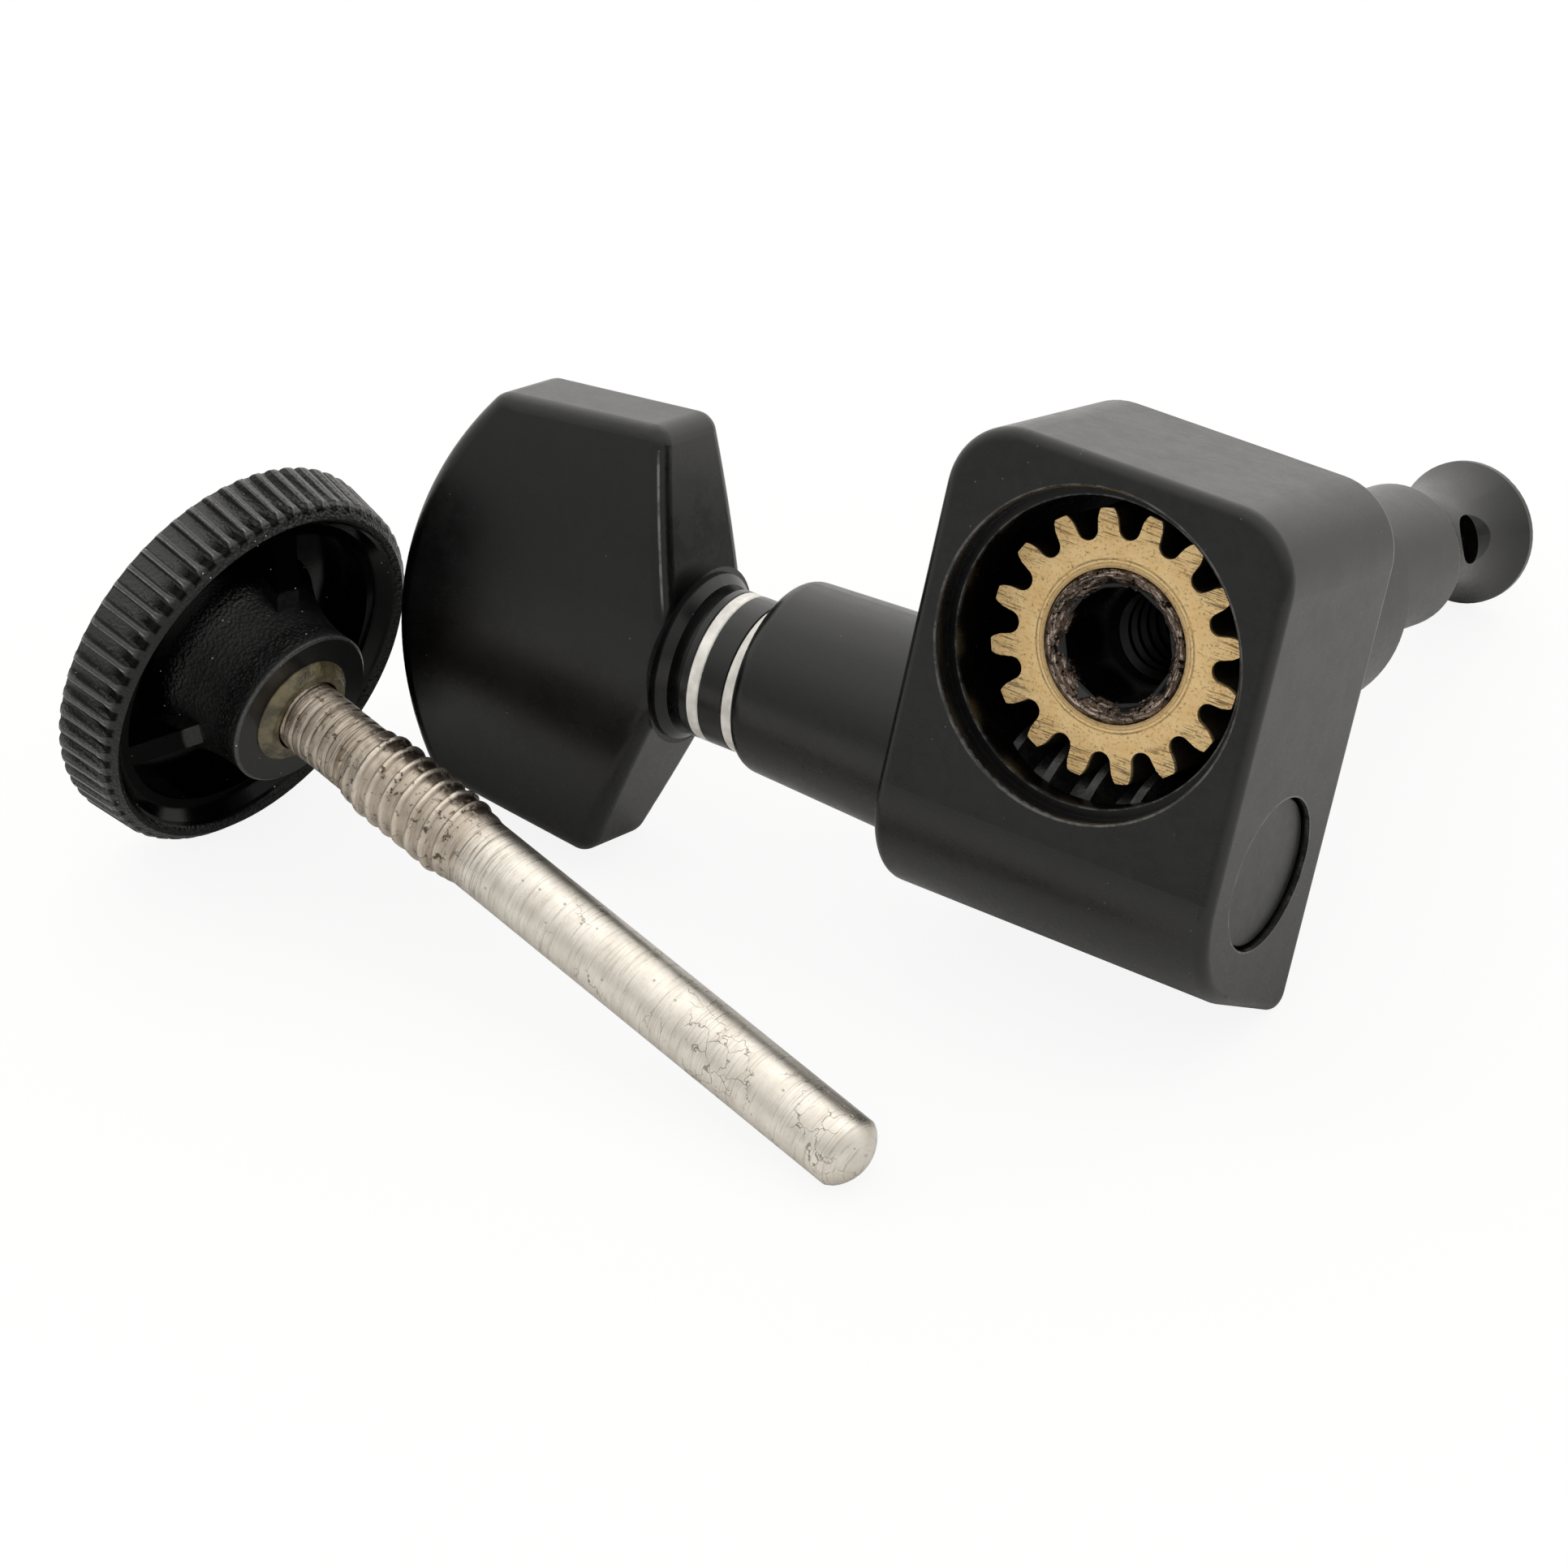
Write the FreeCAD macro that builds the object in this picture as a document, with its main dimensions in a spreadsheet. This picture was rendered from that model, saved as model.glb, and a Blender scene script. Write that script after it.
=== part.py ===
import FreeCAD, Part
import math
import os
import Sketcher

# Guitar tuning machine with a hollow locking post, lying on a table beside its thumb screw.
# Millimetres and degrees. +Z is up from the table, the string post points to +Y and the button to -X.

doc = FreeCAD.newDocument("tuning_machine")
sheet = doc.addObject("Spreadsheet::Sheet", "sizes")


class Size:
    """A length with its value and the formula that binds it to the sheet."""

    def __init__(self, value, text):
        self.value = value
        self.text = text

    def join(self, other, sign, value):
        text = other.text if isinstance(other, Size) else str(other)
        return Size(value, "(" + self.text + " " + sign + " " + text + ")")

    def __add__(self, other):
        return self.join(other, "+", self.value + number(other))

    def __sub__(self, other):
        return self.join(other, "-", self.value - number(other))

    def __mul__(self, other):
        return self.join(other, "*", self.value * number(other))

    def __truediv__(self, other):
        return self.join(other, "/", self.value / number(other))

    def __neg__(self):
        return Size(-self.value, "(0 - " + self.text + ")")


def number(item):
    return item.value if isinstance(item, Size) else item


class Sheet:
    """Each attribute that is set becomes a named cell, and reading it gives a bound size."""

    def __setattr__(self, alias, value):
        row = len(self.__dict__) + 1
        sheet.set("A" + str(row), alias)
        sheet.set("B" + str(row), str(value))
        sheet.setAlias("B" + str(row), alias)
        self.__dict__[alias] = Size(float(value), "sizes." + alias)


s = Sheet()
ZERO = Size(0.0, "0")

# How the tuner lies on the table
s.lie_east = 16.154
s.lie_north = -0.346
s.lie_high = 13.017
s.lie_yaw = 180.0
s.lie_pitch = -2.813
s.lie_roll = 112.722

# How the thumb screw lies on the table
s.screw_east = -21.836
s.screw_north = -15.933
s.screw_high = 8.564
s.screw_heading = -12.221
s.screw_dip = 10.903

# Gear case
s.case_depth = 9.84
s.case_wall = 1.04
s.case_top_wall = 1.08
s.belly_back = 11.62
s.belly_seat = 14.25
s.belly_round = 5.07
s.seat_round = 0.8
s.top_round = 2.9
s.case_edge = 0.5
s.mouth_edge = 0.15
s.ledge_depth = 0.88
s.ledge_width = 0.41
s.wheel_room = 0.7
s.floor_depth = 2.1
s.boss_radius = 5.0
s.boss_length = 9.3
s.boss_edge = 0.3

# Worm shaft line
s.worm_bore_end = 6.2
s.neck_lift = 0.5
s.neck_root = 4.42
s.neck_tip = 4.07
s.neck_end = 15.25
s.neck_round = 0.75
s.sleeve_outer = 2.9
s.sleeve_recess = 0.05

# Bearing sleeve in the boss
s.boss_sleeve_outer = 3.9
s.boss_sleeve_recess = 0.2
s.running_gap = 0.03

# Worm wheel
s.wheel_inset = 2.43
s.wheel_module = 0.6
s.wheel_teeth = 16
s.wheel_turn = 12.35
s.wheel_thrust = 0.35
s.cut_over = 0.3

# Worm
s.worm_pitch_radius = 2.452
s.worm_root = 1.7
s.worm_tip_gap = 0.03
s.worm_thread_run = 9.2
s.worm_collar = 3.12
s.worm_room = 0.07
s.worm_thrust = 0.37
s.worm_end_thrust = 0.32
s.worm_left_collar = 1.1
s.worm_right_collar = 1.4
s.thread_sink = 0.1

# Shaft and what is threaded on it
s.shaft_radius = 2.0
s.shaft_past_washers = 8.55
s.flat_high = 1.6
s.flat_half = 1.2
s.shaft_gap = 0.02
s.washer_radius = 3.16
s.inner_washer_thick = 0.65
s.spacer_thick = 1.14
s.outer_washer_thick = 0.53
s.collar_washer_thick = 0.38
s.washer_edge = 0.05

# End plug of the worm bore
s.plug_sink = 0.3
s.plug_thick = 0.9
s.plug_edge = 0.12

# String post
s.post_radius = 3.08
s.post_proud = 0.09
s.post_rim = 2.88
s.post_rim_length = 0.2
s.post_mouth = 2.84
s.post_mouth_length = 0.42
s.post_shoulder = 18.85
s.post_shoulder_round = 0.35
s.waist_length = 7.1
s.waist_round = 8.9
s.head_radius = 3.12
s.head_lip = 0.5
s.head_round = 0.22
s.head_thick = 2.45
s.socket_radius = 2.46
s.socket_end = 3.7
s.socket_sides = 8
s.socket_turn = 4.0
s.post_turn = 155.0
s.thread_mouth = 2.1
s.thread_major = 1.93
s.thread_minor = 1.64
s.thread_pitch = 0.8
s.thread_foot_share = 0.4
s.thread_crest_share = 0.1
s.thread_run = 5.6
s.thread_relief = 0.7
s.lock_bore_radius = 1.72
s.string_hole_up = 3.25
s.string_hole_radius = 1.05
s.string_mouth_radius = 2.35
s.string_mouth_depth = 1.3
s.string_reach = 3.2

# Button, measured from where its collar starts
s.button_turn = -3.2
s.button_half = 3.095
s.button_crown = 1.0
s.button_shoulder = 0.98
s.button_shoulder_half = 1.91
s.button_wide = 3.36
s.button_wide_half = 9.39
s.button_far = 11.23
s.button_far_half = 8.47
s.button_arc = 14.5
s.button_corner = 0.9
s.button_edge = 0.7
s.collar_core = 2.75
s.collar_lip = 0.47
s.collar_lip_radius = 3.2
s.collar_round_end = 0.82
s.collar_radius = 3.55
s.collar_step = 0.97
s.collar_foot = 3.8
s.collar_end = 1.7
s.collar_tail = 2.9
s.screw_shank = 1.2
s.screw_shank_gap = 0.05
s.screw_head = 2.1
s.screw_head_gap = 0.1
s.screw_head_seat = 11.62
s.screw_head_thick = 1.4
s.screw_tip = 3.02
s.screw_slot_half = 0.25
s.screw_slot_deep = 0.6

# Locating pins of the seat
s.pin_inset = 2.95
s.pin_down = 12.0
s.pin_radius = 0.75
s.pin_stem = 1.0
s.pin_hole_deep = 2.2
s.pin_proud = 1.6
s.pin_edge = 0.2

# Thumb screw knob
s.knob_back = 8.45
s.knob_front = 8.22
s.knurl_end = 2.6
s.knob_back_round = 0.5
s.lip_out = 8.1
s.lip_out_high = 2.8
s.lip_top = 7.7
s.lip_top_high = 3.15
s.lip_in = 7.26
s.lip_in_high = 2.76
s.cup_ledge_high = 2.3
s.cup_ledge = 6.9
s.cup_radius = 6.45
s.cup_floor = 0.9
s.hub_base = 4.75
s.hub_round = 6.5
s.hub_top = 5.55
s.hub_radius = 3.5
s.hub_edge = 0.12
s.flute_count = 60
s.flute_turn = 1.8
s.flute_half = 0.355
s.flute_floor_half = 0.25
s.flute_deep = 0.3
s.flute_run = 2.35
s.flute_bend = 2.7
s.flute_bend_half = 0.29
s.flute_bend_floor = 0.19
s.flute_bend_deep = 0.2
s.flute_out = 2.95
s.flute_tip_half = 0.16
s.flute_tip_floor = 0.1
s.flute_tip_deep = 0.04
s.rib_count = 3
s.rib_turn = 43.0
s.rib_half = 0.6
s.rib_out = 6.7
s.rib_out_high = 2.0
s.rib_in = 3.6
s.rib_in_high = 3.4

# Lock rod of the thumb screw
s.rod_start = 1.2
s.rod_seat = 1.55
s.rod_seat_below = 0.55
s.rod_fine_core = 1.45
s.rod_fine_tip = 1.6
s.rod_fine_end = 9.7
s.rod_fine_pitch = 0.5
s.rod_fine_half = 0.07
s.rod_fine_foot = 0.2
s.rod_coarse_core = 1.62
s.rod_coarse_tip = 1.87
s.rod_thread_gap = 0.4
s.rod_coarse_run = 5.2
s.rod_coarse_half = 0.13
s.rod_coarse_foot = 0.36
s.rod_coarse_end = 15.9
s.rod_coarse_bevel = 0.3
s.rod_shank = 1.536
s.rod_shank_end = 37.3
s.rod_tip_radius = 1.42
s.rod_tip_bevel = 0.2
s.rod_dome_high = 0.65

# Glue bead round the rod
s.bead_gap = 0.02
s.bead_outer = 2.36
s.bead_well = 0.8
s.bead_lift = 0.05
s.bead_proud = 0.45
s.bead_top_radius = 1.95

# Slack for telling edges apart
s.pick_slack = 0.02

doc.recompute()

# Depth and half width of a wheel space below and above the pitch circle, as shares of the module
space_root_share = 0.987
space_sag_share = 0.653
space_neck_shares = (-0.333, 0.758)
space_mid_shares = (0.333, 0.933)
space_out_shares = (0.7, 1.13)
space_bend_shares = (0.88, 1.28)
space_tip_shares = (0.97, 1.43)
space_rim_share = 2.1
worm_crest_share = 0.29
worm_foot_share = 1.06

# Sizes that follow from others
wheel_pitch = s.wheel_module * s.wheel_teeth / 2
wheel_tip = wheel_pitch + s.wheel_module
wheel_root = wheel_pitch - s.wheel_module * space_root_share
wheel_face = s.case_depth - s.wheel_inset
wheel_depth = wheel_face - s.floor_depth - s.wheel_thrust - s.running_gap
chamber_radius = wheel_tip + s.wheel_room
mouth_radius = chamber_radius + s.ledge_width
case_half_width = mouth_radius + s.case_wall
case_top = mouth_radius + s.case_top_wall
worm_deep = wheel_face - wheel_depth / 2
worm_down = wheel_pitch + s.worm_pitch_radius
worm_lead = s.wheel_module * math.pi
worm_tip = worm_down - wheel_root - s.worm_tip_gap
worm_bore = s.worm_collar + s.worm_room
worm_left = case_half_width - s.plug_sink - s.plug_thick - s.worm_end_thrust - s.running_gap
worm_right = s.worm_bore_end - s.worm_thrust - s.running_gap
inner_washer_end = s.neck_end + s.inner_washer_thick
spacer_end = inner_washer_end + s.spacer_thick
outer_washer_end = spacer_end + s.outer_washer_thick
washers_end = outer_washer_end + s.collar_washer_thick
collar_start = washers_end + s.running_gap
shaft_end = washers_end + s.shaft_past_washers
post_rear = wheel_face + s.post_proud
head_rim = s.post_shoulder + s.waist_length
head_end = head_rim + s.head_lip
post_bore_end = head_end - s.head_thick
rod_seat_end = s.hub_top - s.rod_seat_below
bead_deep = s.hub_top - s.bead_well

LYING = "placement(vector(sizes.lie_east; sizes.lie_north; sizes.lie_high); "
LYING += "rotation(sizes.lie_yaw; sizes.lie_pitch; sizes.lie_roll))"
TURNED = " * placement(vector(0; 0; 0); rotation({0}; 0; 0))"
ON_SHAFT = LYING + " * placement(vector(0; 0 - " + worm_down.text + "; 0 - " + worm_deep.text + "); "
ON_SHAFT += "rotation(0; 0; {0}))"
ON_BUTTON = ON_SHAFT.format("sizes.button_turn") + " * placement(vector(" + collar_start.text
ON_BUTTON += "; 0; 0); rotation(0; 0; 0))"
SCREW = "placement(vector(sizes.screw_east; sizes.screw_north; sizes.screw_high); "
SCREW += "rotation(sizes.screw_heading; 90 + sizes.screw_dip; 0))"
ON_POST = LYING
SHAFT = ON_SHAFT.format("0")

pieces = []


def new_body(label, place):
    body = doc.addObject("PartDesign::Body", label)
    body.Label = label
    body.setExpression("Placement", place)
    pieces.append(body)
    return body


def base_sketch(body, name, role, shift, turn):
    sketch = body.newObject("Sketcher::SketchObject", name)
    plane = [item for item in body.Origin.OriginFeatures if item.Role == role][0]
    sketch.AttachmentSupport = [(plane, "")]
    sketch.MapMode = "FlatFace"
    for axis, amount in shift.items():
        sketch.setExpression("AttachmentOffset.Base." + axis, amount.text)
    if turn is not None:
        sketch.setExpression("AttachmentOffset.Rotation.Angle", turn.text)
    return sketch


def bind(sketch, constraint, size):
    index = sketch.addConstraint(constraint)
    sketch.setExpression("Constraints[" + str(index) + "]", size.text)


def fix_point(sketch, piece, end, across, along):
    """Ties one end of a line or arc to the sketch's origin by two bound distances."""
    if across is ZERO:
        sketch.addConstraint(Sketcher.Constraint("PointOnObject", piece, end, -2))
    else:
        bind(sketch, Sketcher.Constraint("DistanceX", -1, 1, piece, end, across.value), across)
    if along is ZERO:
        sketch.addConstraint(Sketcher.Constraint("PointOnObject", piece, end, -1))
    else:
        bind(sketch, Sketcher.Constraint("DistanceY", -1, 1, piece, end, along.value), along)


def arc_between(first, last, radius):
    """Arc through two points; a positive radius puts the centre on the left of the way."""
    chord = last - first
    half = chord.Length / 2
    rise = math.sqrt(max(radius * radius - half * half, 0.0))
    left = FreeCAD.Vector(-chord.y, chord.x, 0).normalize()
    side = 1 if radius > 0 else -1
    centre = first + chord / 2 + left * (rise * side)
    start = math.atan2(first.y - centre.y, first.x - centre.x)
    end = math.atan2(last.y - centre.y, last.x - centre.x)
    circle = Part.Circle(centre, FreeCAD.Vector(0, 0, 1), abs(radius))
    if side > 0:
        return Part.ArcOfCircle(circle, start, end), 1, 2
    return Part.ArcOfCircle(circle, end, start), 2, 1


def outline(body, name, role, points, shift={}, turn=None):
    """Closed outline through (across, along) points; a third entry bends the way to that point."""
    sketch = base_sketch(body, name, role, shift, turn)
    spots = [FreeCAD.Vector(p[0].value, p[1].value, 0) for p in points]
    ends = []
    for index, point in enumerate(points):
        before = spots[index - 1]
        if len(point) == 3:
            arc, first, last = arc_between(before, spots[index], point[2].value)
            piece = sketch.addGeometry(arc, False)
        else:
            first, last = 1, 2
            piece = sketch.addGeometry(Part.LineSegment(before, spots[index]), False)
        ends.append((piece, first, last))
    for index, (piece, first, last) in enumerate(ends):
        other, other_first, other_last = ends[(index + 1) % len(ends)]
        sketch.addConstraint(Sketcher.Constraint("Coincident", piece, last, other, other_first))
    for index, (piece, first, last) in enumerate(ends):
        fix_point(sketch, piece, last, points[index][0], points[index][1])
        if len(points[index]) == 3:
            radius = points[index][2]
            if radius.value < 0:
                radius = -radius
            bind(sketch, Sketcher.Constraint("Radius", piece, radius.value), radius)
    return sketch


def circle(body, name, role, across, along, radius, shift={}):
    sketch = base_sketch(body, name, role, shift, None)
    centre = FreeCAD.Vector(across.value, along.value, 0)
    piece = sketch.addGeometry(Part.Circle(centre, FreeCAD.Vector(0, 0, 1), radius.value), False)
    fix_point(sketch, piece, 3, across, along)
    bind(sketch, Sketcher.Constraint("Radius", piece, radius.value), radius)
    return sketch


def revolve(body, name, sketch, axis, kind="Revolution"):
    feature = body.newObject("PartDesign::" + kind, name)
    feature.Profile = sketch
    feature.ReferenceAxis = (sketch, [axis])
    feature.Angle = 360
    doc.recompute()
    return feature


def extrude(body, name, sketch, length, kind="Pad", both=False, back=False):
    feature = body.newObject("PartDesign::" + kind, name)
    feature.Profile = sketch
    feature.setExpression("Length", length.text)
    if both:
        feature.SideType = "Symmetric"
    feature.Reversed = back
    doc.recompute()
    return feature


def thread(body, name, sketch, axis, pitch, run, left, kind="AdditiveHelix"):
    feature = body.newObject("PartDesign::" + kind, name)
    feature.Profile = sketch
    feature.ReferenceAxis = (sketch, [axis])
    feature.Mode = "pitch-height-angle"
    feature.setExpression("Pitch", pitch.text)
    feature.setExpression("Height", run.text)
    feature.LeftHanded = left
    doc.recompute()
    return feature


def soften(body, name, radius, wanted, kind="Fillet"):
    """Rounds or bevels the edges of the body so far that the given test picks."""
    base = body.Tip
    names = []
    for index, edge in enumerate(base.Shape.Edges):
        if wanted(edge):
            names.append("Edge" + str(index + 1))
    if not names:
        raise ValueError("no edge found for " + name)
    feature = body.newObject("PartDesign::" + kind, name)
    feature.Base = (base, names)
    feature.setExpression("Radius" if kind == "Fillet" else "Size", radius.text)
    doc.recompute()
    return feature


def repeat(body, name, features, sketch, count):
    pattern = body.newObject("PartDesign::PolarPattern", name)
    pattern.Originals = features
    pattern.Axis = (sketch, ["N_Axis"])
    pattern.Angle = 360
    pattern.setExpression("Occurrences", count.text)
    body.Tip = pattern
    doc.recompute()
    return pattern


def near(value, size):
    return abs(value - size.value) < s.pick_slack.value


def ring(label, place, start, end, inner, outer, bevel):
    """Washer or sleeve round the shaft line, its outer edges bevelled."""
    body = new_body(label, place)
    points = [(start, inner), (end, inner), (end, outer - bevel), (end - bevel, outer)]
    points += [(start + bevel, outer), (start, outer - bevel)]
    sketch = outline(body, label + "_section", "XY_Plane", points)
    revolve(body, label + "_turned", sketch, "H_Axis")
    return body


def post_ring(label, start, end, inner, outer, bevel):
    """Washer or sleeve round the post's axis."""
    body = new_body(label, ON_POST)
    points = [(inner, start), (inner, end), (outer - bevel, end), (outer, end - bevel)]
    points += [(outer, start + bevel), (outer - bevel, start)]
    sketch = outline(body, label + "_section", "XZ_Plane", points)
    revolve(body, label + "_turned", sketch, "V_Axis")
    return body


# Gear case: a block with a round belly, open at the back, with a neck and a boss
case = new_body("gear_case", ON_POST)
points = [(case_top, ZERO), (case_top, -s.case_depth), (-s.belly_back, -s.case_depth)]
points += [(-s.belly_seat, ZERO)]
side = outline(case, "case_side", "YZ_Plane", points)
extrude(case, "case_block", side, case_half_width * 2, both=True)


def along_x(edge):
    box = edge.BoundBox
    return box.XLength > case_half_width.value and near(box.YLength + box.ZLength, ZERO)


def along_z(edge):
    box = edge.BoundBox
    return box.ZLength > case_half_width.value and near(box.XLength + box.YLength, ZERO)


soften(case, "case_belly", s.belly_round,
       lambda e: along_x(e) and near(e.BoundBox.YMin, -s.belly_back))
soften(case, "case_seat_corner", s.seat_round,
       lambda e: along_x(e) and near(e.BoundBox.YMin, -s.belly_seat))
soften(case, "case_top_corners", s.top_round, along_z)


def on_side_or_back(edge):
    box = edge.BoundBox
    on_side = near(box.XLength, ZERO) and near(abs(box.XMin), case_half_width)
    on_back = near(box.ZLength, ZERO) and near(box.ZMin, -s.case_depth)
    return (on_side or on_back) and not near(box.ZMax, ZERO) or on_side and box.YMax < 0


soften(case, "case_soft_edges", s.case_edge, on_side_or_back)
neck_place = {"y": s.neck_lift - worm_down, "z": -worm_deep}
points = [(s.neck_end, ZERO), (s.neck_end, s.neck_tip), (case_half_width, s.neck_root)]
points += [(s.worm_bore_end, s.neck_root), (s.worm_bore_end, ZERO)]
neck = outline(case, "neck_section", "XY_Plane", points, neck_place)
revolve(case, "neck_turned", neck, "H_Axis")
soften(case, "neck_rounded_end", s.neck_round,
       lambda e: near(e.BoundBox.XMin, s.neck_end) and near(e.BoundBox.XMax, s.neck_end))
boss = circle(case, "boss_outline", "XY_Plane", ZERO, ZERO, s.boss_radius)
extrude(case, "boss_block", boss, s.boss_length)
soften(case, "boss_bevel", s.boss_edge,
       lambda e: near(e.BoundBox.ZMin, s.boss_length) and near(e.BoundBox.ZLength, ZERO), "Chamfer")
ledge = s.ledge_depth - s.case_depth
points = [(ZERO, -s.case_depth), (mouth_radius, -s.case_depth), (mouth_radius, ledge)]
points += [(chamber_radius, ledge), (chamber_radius, -s.floor_depth)]
points += [(s.boss_sleeve_outer, -s.floor_depth), (s.boss_sleeve_outer, s.boss_length)]
points += [(ZERO, s.boss_length)]
chamber = outline(case, "chamber_section", "XZ_Plane", points)
revolve(case, "chamber_cut", chamber, "V_Axis", "Groove")
worm_place = {"y": -worm_down, "z": -worm_deep}
points = [(-case_half_width, ZERO), (-case_half_width, worm_bore), (s.worm_bore_end, worm_bore)]
points += [(s.worm_bore_end, s.sleeve_outer), (s.neck_end, s.sleeve_outer), (s.neck_end, ZERO)]
bore = outline(case, "worm_bore_section", "XY_Plane", points, worm_place)
revolve(case, "worm_bore_cut", bore, "H_Axis", "Groove")
soften(case, "mouth_soft_edge", s.mouth_edge,
       lambda e: near(e.BoundBox.ZMin, -s.case_depth) and near(e.BoundBox.XMax, mouth_radius))
pin_side = case_half_width - s.pin_inset
for index, side in enumerate((-1, 1)):
    hole = circle(case, "pin_hole_" + str(index), "XY_Plane", pin_side * side, -s.pin_down, s.pin_stem)
    extrude(case, "pin_hole_cut_" + str(index), hole, s.pin_hole_deep, "Pocket")

# Bearing sleeves and thrust washers
post_inner = s.post_radius + s.running_gap
post_ring("boss_sleeve", -s.floor_depth, s.boss_length - s.boss_sleeve_recess, post_inner,
          s.boss_sleeve_outer, s.washer_edge)
post_ring("wheel_thrust_washer", -s.floor_depth - s.wheel_thrust, -s.floor_depth, post_inner,
          wheel_root, s.washer_edge)
shaft_inner = s.shaft_radius + s.running_gap
ring("neck_sleeve", SHAFT, s.worm_bore_end, s.neck_end - s.sleeve_recess, shaft_inner,
     s.sleeve_outer, s.washer_edge)
ring("worm_thrust_washer", SHAFT, s.worm_bore_end - s.worm_thrust, s.worm_bore_end, shaft_inner,
     s.worm_collar, s.washer_edge)

# Plug that closes the worm bore, and the washer behind it
plug = new_body("worm_plug", SHAFT)
plug_face = s.plug_sink - case_half_width
plug_end = plug_face + s.plug_thick
points = [(plug_face, ZERO), (plug_end, ZERO), (plug_end, worm_bore)]
points += [(plug_face + s.plug_edge, worm_bore), (plug_face, worm_bore - s.plug_edge)]
section = outline(plug, "plug_section", "XY_Plane", points)
revolve(plug, "plug_turned", section, "H_Axis")
ring("worm_end_washer", SHAFT, plug_end, plug_end + s.worm_end_thrust, s.worm_root, s.worm_collar,
     s.washer_edge)

# Worm shaft with its left-handed thread
worm = new_body("worm_shaft", SHAFT)
points = [(-worm_left, ZERO), (-worm_left, s.worm_collar)]
points += [(s.worm_left_collar - worm_left, s.worm_collar), (s.worm_left_collar - worm_left, s.worm_root)]
points += [(worm_right - s.worm_right_collar, s.worm_root)]
points += [(worm_right - s.worm_right_collar, s.worm_collar), (worm_right, s.worm_collar)]
points += [(worm_right, s.shaft_radius), (shaft_end, s.shaft_radius), (shaft_end, ZERO)]
section = outline(worm, "worm_section", "XY_Plane", points)
revolve(worm, "worm_turned", section, "H_Axis")
low = s.worm_root - s.thread_sink
foot = s.wheel_module * worm_foot_share
crest = s.wheel_module * worm_crest_share
start = -s.worm_thread_run / 2
points = [(start - foot, low), (start + foot, low), (start + crest, worm_tip), (start - crest, worm_tip)]
section = outline(worm, "worm_thread_section", "XY_Plane", points)
thread(worm, "worm_thread", section, "H_Axis", worm_lead, s.worm_thread_run, True)
points = [(-s.flat_half, s.flat_high), (s.flat_half, s.flat_high), (s.flat_half, s.shaft_radius)]
points += [(-s.flat_half, s.shaft_radius)]
flat = outline(worm, "shaft_flat_outline", "YZ_Plane", points, {"z": washers_end}, s.button_turn)
extrude(worm, "shaft_flat", flat, s.shaft_past_washers, "Pocket", back=True)
hole_start = collar_start + s.screw_tip
hole = circle(worm, "shaft_screw_hole", "YZ_Plane", ZERO, ZERO, s.screw_shank, {"z": hole_start})
extrude(worm, "shaft_screw_bore", hole, shaft_end - hole_start, "Pocket", back=True)

# Washers and spacer between the neck and the button
ring("inner_washer", SHAFT, s.neck_end, inner_washer_end, shaft_inner, s.washer_radius, s.washer_edge)
ring("spacer_ring", SHAFT, inner_washer_end, spacer_end, shaft_inner, s.washer_radius, s.washer_edge)
ring("outer_washer", SHAFT, spacer_end, outer_washer_end, shaft_inner, s.washer_radius, s.washer_edge)
ring("collar_washer", SHAFT, outer_washer_end, washers_end, shaft_inner, s.washer_radius, s.washer_edge)

# Worm wheel with straight-sided, round-rooted spaces that follow the worm's slant
wheel = new_body("worm_wheel", ON_POST + TURNED.format("sizes.wheel_turn"))
blank = circle(wheel, "wheel_outline", "XY_Plane", ZERO, ZERO, wheel_tip, {"z": -wheel_face})
extrude(wheel, "wheel_blank", blank, wheel_depth)
FULL_TURN = 360
rise_per_turn = worm_lead / (s.worm_pitch_radius * 2 * math.pi)
slant = rise_per_turn / (wheel_pitch * 2 * math.pi) * FULL_TURN
half_depth = wheel_depth / 2 + s.cut_over
places = []
for offset_share, half_share in (space_neck_shares, space_mid_shares, space_out_shares,
                                 space_bend_shares, space_tip_shares):
    places.append((wheel_pitch + s.wheel_module * offset_share, s.wheel_module * half_share))
places.append((wheel_tip + s.cut_over, s.wheel_module * space_rim_share))
neck_half = places[0][1]
sag = s.wheel_module * space_sag_share
space_round = (neck_half * neck_half / sag + sag) / 2
sections = []
for index, way in enumerate((-1, 1)):
    points = [(along, -half) for along, half in reversed(places)]
    points.append((places[0][0], neck_half, -space_round))
    points += places[1:]
    shift = {"z": half_depth * way - worm_deep}
    turn = -slant * (half_depth * way)
    sections.append(outline(wheel, "space_" + str(index), "XY_Plane", points, shift, turn))
space = wheel.newObject("PartDesign::SubtractiveLoft", "space_cut")
space.Profile = sections[0]
space.Sections = [sections[1]]
doc.recompute()
repeat(wheel, "wheel_spaces", [space], sections[0], s.wheel_teeth)
hole = circle(wheel, "wheel_bore_outline", "XY_Plane", ZERO, ZERO, s.post_radius, {"z": -wheel_face})
extrude(wheel, "wheel_bore", hole, wheel_depth, "Pocket", back=True)

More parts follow.
